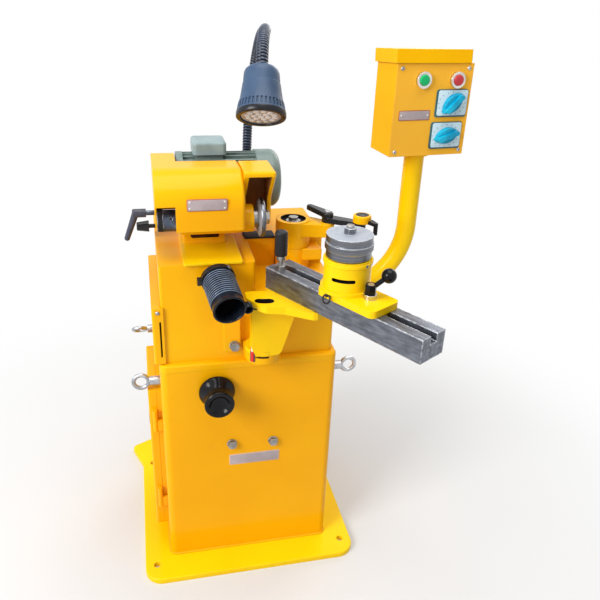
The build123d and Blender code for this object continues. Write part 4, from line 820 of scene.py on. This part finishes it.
# lamp shade with vent slots: its outline in (radius, height) pairs, from the mouth up and back down inside
shadeSet = {
    "height": 0.078, "seat": 0.010, "rim": 0.0085, "slots": 36, "slotDepth": 0.0014, "sharp": 32,
    "lip": ((0.0357, 0.0), (0.0366, 0.0006), (0.0370, 0.0016), (0.0370, 0.0066), (0.0366, 0.0080)),
    "slotLow": (0.0359, 0.0105), "slotHigh": (0.0340, 0.0205),
    "bell": ((0.0318, 0.0270), (0.0300, 0.0380), (0.0286, 0.0475), (0.0283, 0.0498), (0.0276, 0.0504),
             (0.0274, 0.0530), (0.0268, 0.0620), (0.0262, 0.0672), (0.0246, 0.0708), (0.0214, 0.0738),
             (0.0170, 0.0760), (0.0135, 0.0772), (0.0120, 0.0780), (0.0103, 0.0780)),
    "inside": ((0.0103, 0.0690), (0.0098, 0.0600), (0.0225, 0.0590), (0.0290, 0.0270), (0.0303, 0.0080),
               (0.0303, 0.0012), (0.0310, 0.0)),
}
shadeMouth = neckSet["foot"] + neckSet["tip"] - neckSet["rise"] * (shadeSet["height"] - shadeSet["seat"])
shadePlace = axisPlace(shadeMouth, neckSet["rise"])


def buildShade():
    o = shadeSet
    outline = [*o["lip"], o["slotLow"], o["slotHigh"], *o["bell"], *o["inside"]]
    shape = lathe(outline, 2 * o["slots"], closed=True)
    low, high = o["slotLow"][1], o["slotHigh"][1]
    vents = []
    for face in shape.faces:
        middle = face.calc_center_median()
        if low < middle.z < high and face.normal.dot(middle) > 0:
            vents.append(face)
    vents.sort(key=lambda f: math.atan2(f.calc_center_median().y, f.calc_center_median().x))
    cut = bmesh.ops.extrude_discrete_faces(shape, faces=vents[::2])
    for face in cut["faces"]:
        inward = face.calc_center_median()
        inward.z = 0
        bmesh.ops.translate(shape, vec=inward.normalized() * -o["slotDepth"], verts=face.verts)
    shade = bmesh.new()
    addTo(shade, shape, shadePlace)
    local = shadePlace.inverted()
    # faces below the rim height take the darker rim finish, partly painted shade
    for face in shade.faces:
        face.material_index = (local @ face.calc_center_median()).z < o["rim"]
    finishes = [mould["shadeBlackSheen"], mould["shadeRimShaded"]]
    newPiece("ventedShade", shade, finishes, "head", ["lamp_shade"], o["sharp"])


# lens of the lamp, with rings of clear domes as (radius, count)
lensSet = {
    "reach": 0.0302, "low": 0.002, "thick": 0.003, "lip": 0.001, "steps": 64, "sharp": 40,
    "domes": ((0.0, 1), (0.0105, 6), (0.0205, 12)), "dome": 0.0046, "swell": 0.0018, "sink": 0.0002,
}


def buildLens():
    o = lensSet
    lens = bmesh.new()
    face = [(0.0, o["low"]), (o["reach"] - o["lip"], o["low"]), (o["reach"], o["low"] + o["lip"]),
            (o["reach"], o["low"] + o["thick"]), (0.0, o["low"] + o["thick"])]
    addTo(lens, lathe(face, o["steps"]), shadePlace, 0)
    downward = Matrix.Rotation(math.pi, 4, "X")
    for reach, count in o["domes"]:
        for step in range(count):
            turn = Matrix.Rotation(2 * math.pi * step / count, 4, "Z")
            spot = turn @ Matrix.Translation((reach, 0, o["low"] + o["sink"])) @ downward
            addTo(lens, dome(o["dome"], o["swell"]), shadePlace @ spot, 1)
    finishes = [mould["lensPanel"], mould["lensDome"]]
    newPiece("lampLens", lens, finishes, "head", ["lamp_lens"], o["sharp"])


buildShade()
buildLens()


# where the control panel stands
boxSet = {"corner": Vector((0.282, -0.024, 0.836)), "yaw": math.radians(7)}
panelRight = Vector((math.cos(boxSet["yaw"]), math.sin(boxSet["yaw"]), 0))
panelOut = Vector((math.sin(boxSet["yaw"]), -math.cos(boxSet["yaw"]), 0))


def onPanel(x, z, proud=0.0):
    origin = boxSet["corner"] + panelRight * x + Vector((0, 0, z)) + panelOut * proud
    return axisPlace(origin, panelOut, panelRight)


# blank plates on the cabinet, the head cover and the control panel, riveted at corners or ends
plateSet = {
    "cabinetPlate": {
        "place": axisPlace((0.0085, -0.143, 0.2515), (0, -1, 0)), "size": (0.103, 0.026),
        "body": "frame", "border": "plateLip", "rivets": (),
    },
    "coverPlate": {
        "place": axisPlace((-0.0737, -0.125, 0.786), (0, -1, 0)), "size": (0.0695, 0.0215),
        "body": "head", "border": "plateBorder", "rivets": ((-1, -1), (-1, 1), (1, -1), (1, 1)),
    },
    "panelPlate": {
        "place": onPanel(0.044, 0.077), "size": (0.066, 0.0190),
        "body": "frame", "border": "plateBorder", "rivets": ((-1, 0), (1, 0)),
    },
}
plateForm = {
    "rim": {"thick": 0.0007, "corner": 0.003, "lip": 0.0003},
    "face": {"thick": 0.0005, "corner": 0.002, "lip": 0.0002}, "faceInset": 0.003, "faceLift": 0.0006,
    "rivet": {"reach": 0.0018, "height": 0.0011}, "rivetInset": 0.0052, "rivetLift": 0.001,
}


def buildPlate(name):
    o = {**plateForm, **plateSet[name]}
    width, height = o["size"]
    plate = bmesh.new()
    addTo(plate, slab(width, height, **o["rim"]), o["place"], 1)
    lift = Matrix.Translation((0, 0, o["faceLift"]))
    face = slab(width - o["faceInset"], height - o["faceInset"], **o["face"])
    addTo(plate, face, o["place"] @ lift, 0)
    for x, y in o["rivets"]:
        across = x * (width / 2 - o["rivetInset"])
        up = y * (height / 2 - o["rivetInset"])
        spot = Matrix.Translation((across, up, o["rivetLift"]))
        addTo(plate, dome(**o["rivet"]), o["place"] @ spot, 2)
    finishes = [mould["plateLilac"], mould[o["border"]], mould["scaleWhite"]]
    newPiece(name, plate, finishes, o["body"])


for name in plateSet:
    buildPlate(name)


# switch plates: teal rim, pale face and plain ticks round the lever
switchSet = {
    "places": ((0.1205, 0.098), (0.116, 0.038)), "size": (0.068, 0.051), "thick": 0.003,
    "rimSink": 0.0006, "rimCorner": 0.005, "rimLip": 0.0006,
    "face": {"thick": 0.0008, "corner": 0.004, "lip": 0.0003},
    "faceInset": 0.0045, "faceShift": (0.0012, 0.0008),
    "tick": {"width": 0.0024, "height": 0.0009, "thick": 0.0002, "corner": 0.0003, "lip": 0.00005},
    "ticks": 16, "tickInset": (0.0055, 0.0050), "tickSink": 0.0001,
}


def buildSwitchPlates():
    o = switchSet
    width, height = o["size"]
    plates = bmesh.new()
    for x, z in o["places"]:
        place = onPanel(x, z)
        rim = slab(width, height, o["thick"] - o["rimSink"], o["rimCorner"], o["rimLip"])
        addTo(plates, rim, place, 0)
        shift = Matrix.Translation((*o["faceShift"], o["thick"] - o["face"]["thick"]))
        face = slab(width - o["faceInset"], height - o["faceInset"], **o["face"])
        addTo(plates, face, place @ shift, 1)
        for step in range(o["ticks"]):
            turn = 2 * math.pi * step / o["ticks"]
            across = math.cos(turn) * (width / 2 - o["tickInset"][0])
            up = math.sin(turn) * (height / 2 - o["tickInset"][1])
            spot = Matrix.Translation((across, up, o["thick"] - o["tickSink"]))
            addTo(plates, slab(**o["tick"]), place @ spot @ Matrix.Rotation(turn, 4, "Z"), 2)
    finishes = [mould["plateRim"], mould["plateBlue"], mould["markInk"]]
    newPiece("switchFaces", plates, finishes, "frame", ["switch_plates"])


buildSwitchPlates()


# pan-head panel screws with a cross recess
screwSet = {
    "places": ((0.010, 0.009), (0.010, 0.161), (0.150, 0.009), (0.150, 0.161)),
    "reach": 0.004, "height": 0.0022, "crown": 0.0014, "steps": 24,
    "shank": ((0.0, -0.0015), (0.002, -0.0015), (0.002, 0.0)),
    "rim": ((-0.0003, 0.0), (0.0, 0.0004), (-0.0004, 0.0013), (-0.0012, 0.0019)),
    "recess": {"width": 0.0042, "height": 0.0008, "thick": 0.00018, "corner": 0.0002, "lip": 0.00004},
    "recessSink": 0.0001, "recessTurn": 0.3,
}


def buildScrews():
    o = screwSet
    outline = [*o["shank"], *shifted(o["rim"], o["reach"], 0.0), (o["crown"], o["height"]), (0.0, o["height"])]
    screws = bmesh.new()
    for x, z in o["places"]:
        addTo(screws, lathe(outline, o["steps"]), onPanel(x, z), 0)
        for turn in (o["recessTurn"], o["recessTurn"] + math.pi / 2):
            slotPlace = onPanel(x, z, o["height"] - o["recessSink"]) @ Matrix.Rotation(turn, 4, "Z")
            addTo(screws, slab(**o["recess"]), slotPlace, 1)
    newPiece("panelScrewHeads", screws, [zincPlate, mould["markInk"]], "frame", ["panel_screws"])


buildScrews()


# weld bead round the cabinet's foot
beadSet = {
    "size": (0.340, 0.310), "middle": (0.0, 0.012), "corner": 0.014, "height": 0.0128,
    "reach": 0.0030, "turns": 6, "sides": 12,
}


def buildBead():
    o = beadSet
    route = []
    for quarter, (right, rear) in enumerate(((1, 1), (-1, 1), (-1, -1), (1, -1))):
        middle = Vector((o["middle"][0] + right * (o["size"][0] / 2 - o["corner"]),
                         o["middle"][1] + rear * (o["size"][1] / 2 - o["corner"]), o["height"]))
        for step in range(o["turns"] + 1):
            turn = math.pi / 2 * (quarter + step / o["turns"])
            route.append(middle + Vector((math.cos(turn), math.sin(turn), 0)) * o["corner"])
    stations = []
    for count, here in enumerate(route):
        stations.append((here, route[(count + 1) % len(route)] - route[count - 1]))
    bead = ringTube(stations, [o["reach"]] * len(stations), o["sides"], (0, 0, 1), closed=True)
    bmesh.ops.recalc_face_normals(bead, faces=bead.faces)
    newPiece("footBead", bead, [sheetYellow], "frame")


buildBead()


# flat pads: a thin black strip on the body's top beside the slide, a dark sheet of painted shadow on the
# pedestal's front under the cover, and a black plate of painted shade in the bracket's curved slot
padSet = {
    # a thin black strip on the body's top beside the slide
    "blackTopStrip": {
        "place": Matrix.Translation((0.036, 0.000, 0.680)),
        "form": {"width": 0.060, "height": 0.036, "thick": 0.003, "corner": 0.003, "lip": 0.001},
        "finish": "beltRubber", "body": "frame", "slot": "rubber",
    },
    # a dark sheet painted as the shadow under the head cover
    "pedestalShadowSheet": {
        "place": axisPlace((-0.0710, -0.03275, 0.6985), (0, -0.894, 0.447)),
        "form": {"width": 0.053, "height": 0.0110, "thick": 0.0004, "corner": 0.004, "lip": 0.0001},
        "finish": "shadowAndMarkBrown", "body": "slide", "slot": "plate_plastic",
    },
    # a black plate painted as the shade inside the bracket's curved slot
    "slotShadePlate": {
        "place": Matrix.Translation((0.0115, -0.2068, 0.6275)) @ Matrix.Rotation(math.radians(-8.5), 4, "Z"),
        "form": {"width": 0.036, "height": 0.0230, "thick": 0.0015, "corner": 0.004, "lip": 0.0003},
        "finish": "beltRubber", "body": "bracket", "slot": "rubber",
    },
}


def buildPad(name):
    o = padSet[name]
    pad = bmesh.new()
    addTo(pad, slab(**o["form"]), o["place"])
    newPiece(name, pad, [mould[o["finish"]]], o["body"])


# red pointer on the bracket's foot; a layer has two levels, width, distance from the rim, thickness and paint
pointerSet = {
    "pivot": (0.018, -0.165), "reach": 0.033, "turn": math.radians(227),
    "low": 0.510, "foot": 0.524, "top": 0.531, "high": 0.541, "corner": 0.001, "lip": 0.0002,
    "layers": (("foot", "top", 0.0090, -0.0005, 0.0016, 1), ("low", "top", 0.0100, 0.0006, 0.0008, 1),
               ("low", "high", 0.0066, 0.0013, 0.0010, 0), ("top", "high", 0.0036, 0.0022, 0.0006, 2)),
}


def rimPlace(turn, height, proud=0.0):
    o = pointerSet
    out = Vector((math.cos(turn), math.sin(turn), 0))
    return axisPlace(Vector((*o["pivot"], height)) + out * (o["reach"] + proud), out, (0, 0, 1))


def buildPointer():
    o = pointerSet
    pointer = bmesh.new()
    for low, high, width, proud, thick, paint in o["layers"]:
        leaf = slab(o[high] - o[low], width, thick, o["corner"], o["lip"])
        addTo(pointer, leaf, rimPlace(o["turn"], (o[high] + o[low]) / 2, proud), paint)
    finishes = [mould["pointerRed"], mould["markInk"], mould["scaleWhite"]]
    newPiece("redPointer", pointer, finishes, "bracket")


# marks on the lug below the pointer
markSet = {
    "count": 6, "first": 2, "step": math.radians(7), "height": 0.5205,
    "form": {"width": 0.0036, "height": 0.0042, "thick": 0.0003, "corner": 0.0002, "lip": 0.0001},
}


def buildMarks():
    o = markSet
    marks = bmesh.new()
    for count in range(o["count"]):
        turn = pointerSet["turn"] + (count + o["first"]) * o["step"]
        addTo(marks, slab(**o["form"]), rimPlace(turn, o["height"]))
    newPiece("lugMarks", marks, [mould["shadowAndMarkBrown"]], "frame")


buildPad("blackTopStrip")
buildPointer()
buildMarks()
buildPad("pedestalShadowSheet")
buildPad("slotShadePlate")


# ring pin on the side of the fixture's foot
pinSet = {
    "along": 0.161, "across": -0.0372, "height": 0.6885, "steps": 20,
    "stem": ((0.0, -0.001), (0.0026, -0.001), (0.0026, 0.005), (0.00182, 0.0062), (0.0, 0.0062)),
    "ring": 0.0072, "wire": 0.0015, "proud": 0.0045, "drop": 0.8, "lean": 0.35,
}


def buildRingPin():
    o = pinSet
    out = onRail(0, -1) - onRail(0, 0)
    root = onRail(o["along"], o["across"], o["height"])
    pin = bmesh.new()
    addTo(pin, lathe(o["stem"], o["steps"]), axisPlace(root, out))
    hang = root + out * o["proud"] - Vector((0, 0, o["ring"] * o["drop"]))
    addTo(pin, ring(o["ring"], o["wire"]), axisPlace(hang, out + Vector((0, 0, o["lean"]))))
    newPiece("ringPin", pin, [blackSteel], "fixture")


buildRingPin()


# screw of the side cover
coverScrewSet = {"place": (-0.1675, -0.135, 0.592), "form": {"reach": 0.0040, "height": 0.0024, "steps": 24}}


def buildCoverScrew():
    o = coverScrewSet
    screw = bmesh.new()
    addTo(screw, dome(**o["form"]), axisPlace(o["place"], (0, -1, 0)))
    newPiece("coverScrew", screw, [zincPlate], "frame")


buildCoverScrew()
print("pieces made")


# stage: pale floor, soft lamps and the camera
cameraSet = {
    "place": (-0.17203, -1.19896, 1.13914), "yaw": 13.94, "pitch": -26.17, "roll": 2.52,
    "lens": 39.525, "sensor": 36,
}
lampSet = {
    "overhead": {"place": (0.2, -0.3, 4.0), "aim": (0.0, 0.0, 0.4), "size": 2.8, "power": 100},
    "key": {"place": (-2.46, -1.6, 2.1), "aim": (0.0, 0.0, 0.6), "size": 1.5, "power": 100},
    "back": {"place": (1.9, 2.1, 1.9), "aim": (0.0, 0.0, 0.6), "size": 1.6, "power": 26},
}
worldSet = {"tone": rgb(1.0, 1.0, 1.0), "light": 0.40}
floorSet = {
    "reach": 6.0, "segments": 64, "tone": rgb(0.64, 0.64, 0.64), "rough": 0.8, "gleam": 0.1,
    "middle": (0.05, -0.05, 0), "white": 0.08, "fadeStart": 0.40, "fadeEnd": 1.25,
}


def raysSeen(wire):                # 1 for the rays that should meet the white background
    path = wire.node("ShaderNodeLightPath").socket.node
    total = 0.0
    for kind in ("Is Camera Ray", "Is Glossy Ray", "Is Transmission Ray"):
        total = total + Wire(wire.tree, path.outputs[kind])
    return wire.maths("MINIMUM", total, 1.0)


def buildWorld():
    world = bpy.data.worlds.new("studio")
    scene.world = world
    world.use_nodes = True
    background = world.node_tree.nodes["Background"]
    strength = worldSet["light"] + (1 - worldSet["light"]) * raysSeen(Wire(world.node_tree))
    background.inputs["Color"].default_value = worldSet["tone"]
    world.node_tree.links.new(strength.socket, background.inputs["Strength"])


def buildFloor():
    o = floorSet
    shape = bmesh.new()
    bmesh.ops.create_circle(shape, cap_ends=True, segments=o["segments"], radius=o["reach"])
    mesh = bpy.data.meshes.new("floor")
    shape.to_mesh(mesh)
    shape.free()
    finish, shader, where = startFinish("floorPale")
    setShader(shader, {"Base Color": o["tone"], "Roughness": o["rough"], "Specular IOR Level": o["gleam"]})
    x, y = split(placed(where, o["middle"]))[:2]
    share = o["white"] + (1 - o["white"]) * between(radius(x, y), o["fadeStart"], o["fadeEnd"])
    glow = where.node("ShaderNodeEmission", {}, {"Color": rgb(1, 1, 1), "Strength": 1.0})
    tree = finish.node_tree
    blend = tree.nodes.new("ShaderNodeMixShader")
    tree.links.new((share * raysSeen(where)).socket, blend.inputs[0])
    tree.links.new(shader.outputs[0], blend.inputs[1])
    tree.links.new(glow.socket, blend.inputs[2])
    tree.links.new(blend.outputs[0], tree.nodes["Material Output"].inputs["Surface"])
    mesh.materials.append(finish)
    floor = bpy.data.objects.new("floor", mesh)
    scene.collection.objects.link(floor)


def buildLamps():
    for name, o in lampSet.items():
        light = bpy.data.lights.new(name, "AREA")
        light.size = o["size"]
        light.energy = o["power"]
        lamp = bpy.data.objects.new(name, light)
        aim = Vector(o["aim"]) - Vector(o["place"])
        turn = aim.to_track_quat("-Z", "Y").to_matrix().to_4x4()
        lamp.matrix_world = Matrix.Translation(o["place"]) @ turn
        scene.collection.objects.link(lamp)


def buildCamera():
    o = cameraSet
    lens = bpy.data.cameras.new("camera")
    lens.sensor_width = o["sensor"]
    lens.lens = o["lens"]
    camera = bpy.data.objects.new("camera", lens)
    yaw = Matrix.Rotation(math.radians(-o["yaw"]), 4, "Z")
    pitch = Matrix.Rotation(math.radians(90 + o["pitch"]), 4, "X")
    roll = Matrix.Rotation(math.radians(o["roll"]), 4, "Z")
    camera.matrix_world = Matrix.Translation(o["place"]) @ (yaw @ pitch) @ roll
    scene.collection.objects.link(camera)
    scene.camera = camera


buildWorld()
buildFloor()
buildLamps()
buildCamera()
scene.view_settings.view_transform = "Standard"
print("stage ready")
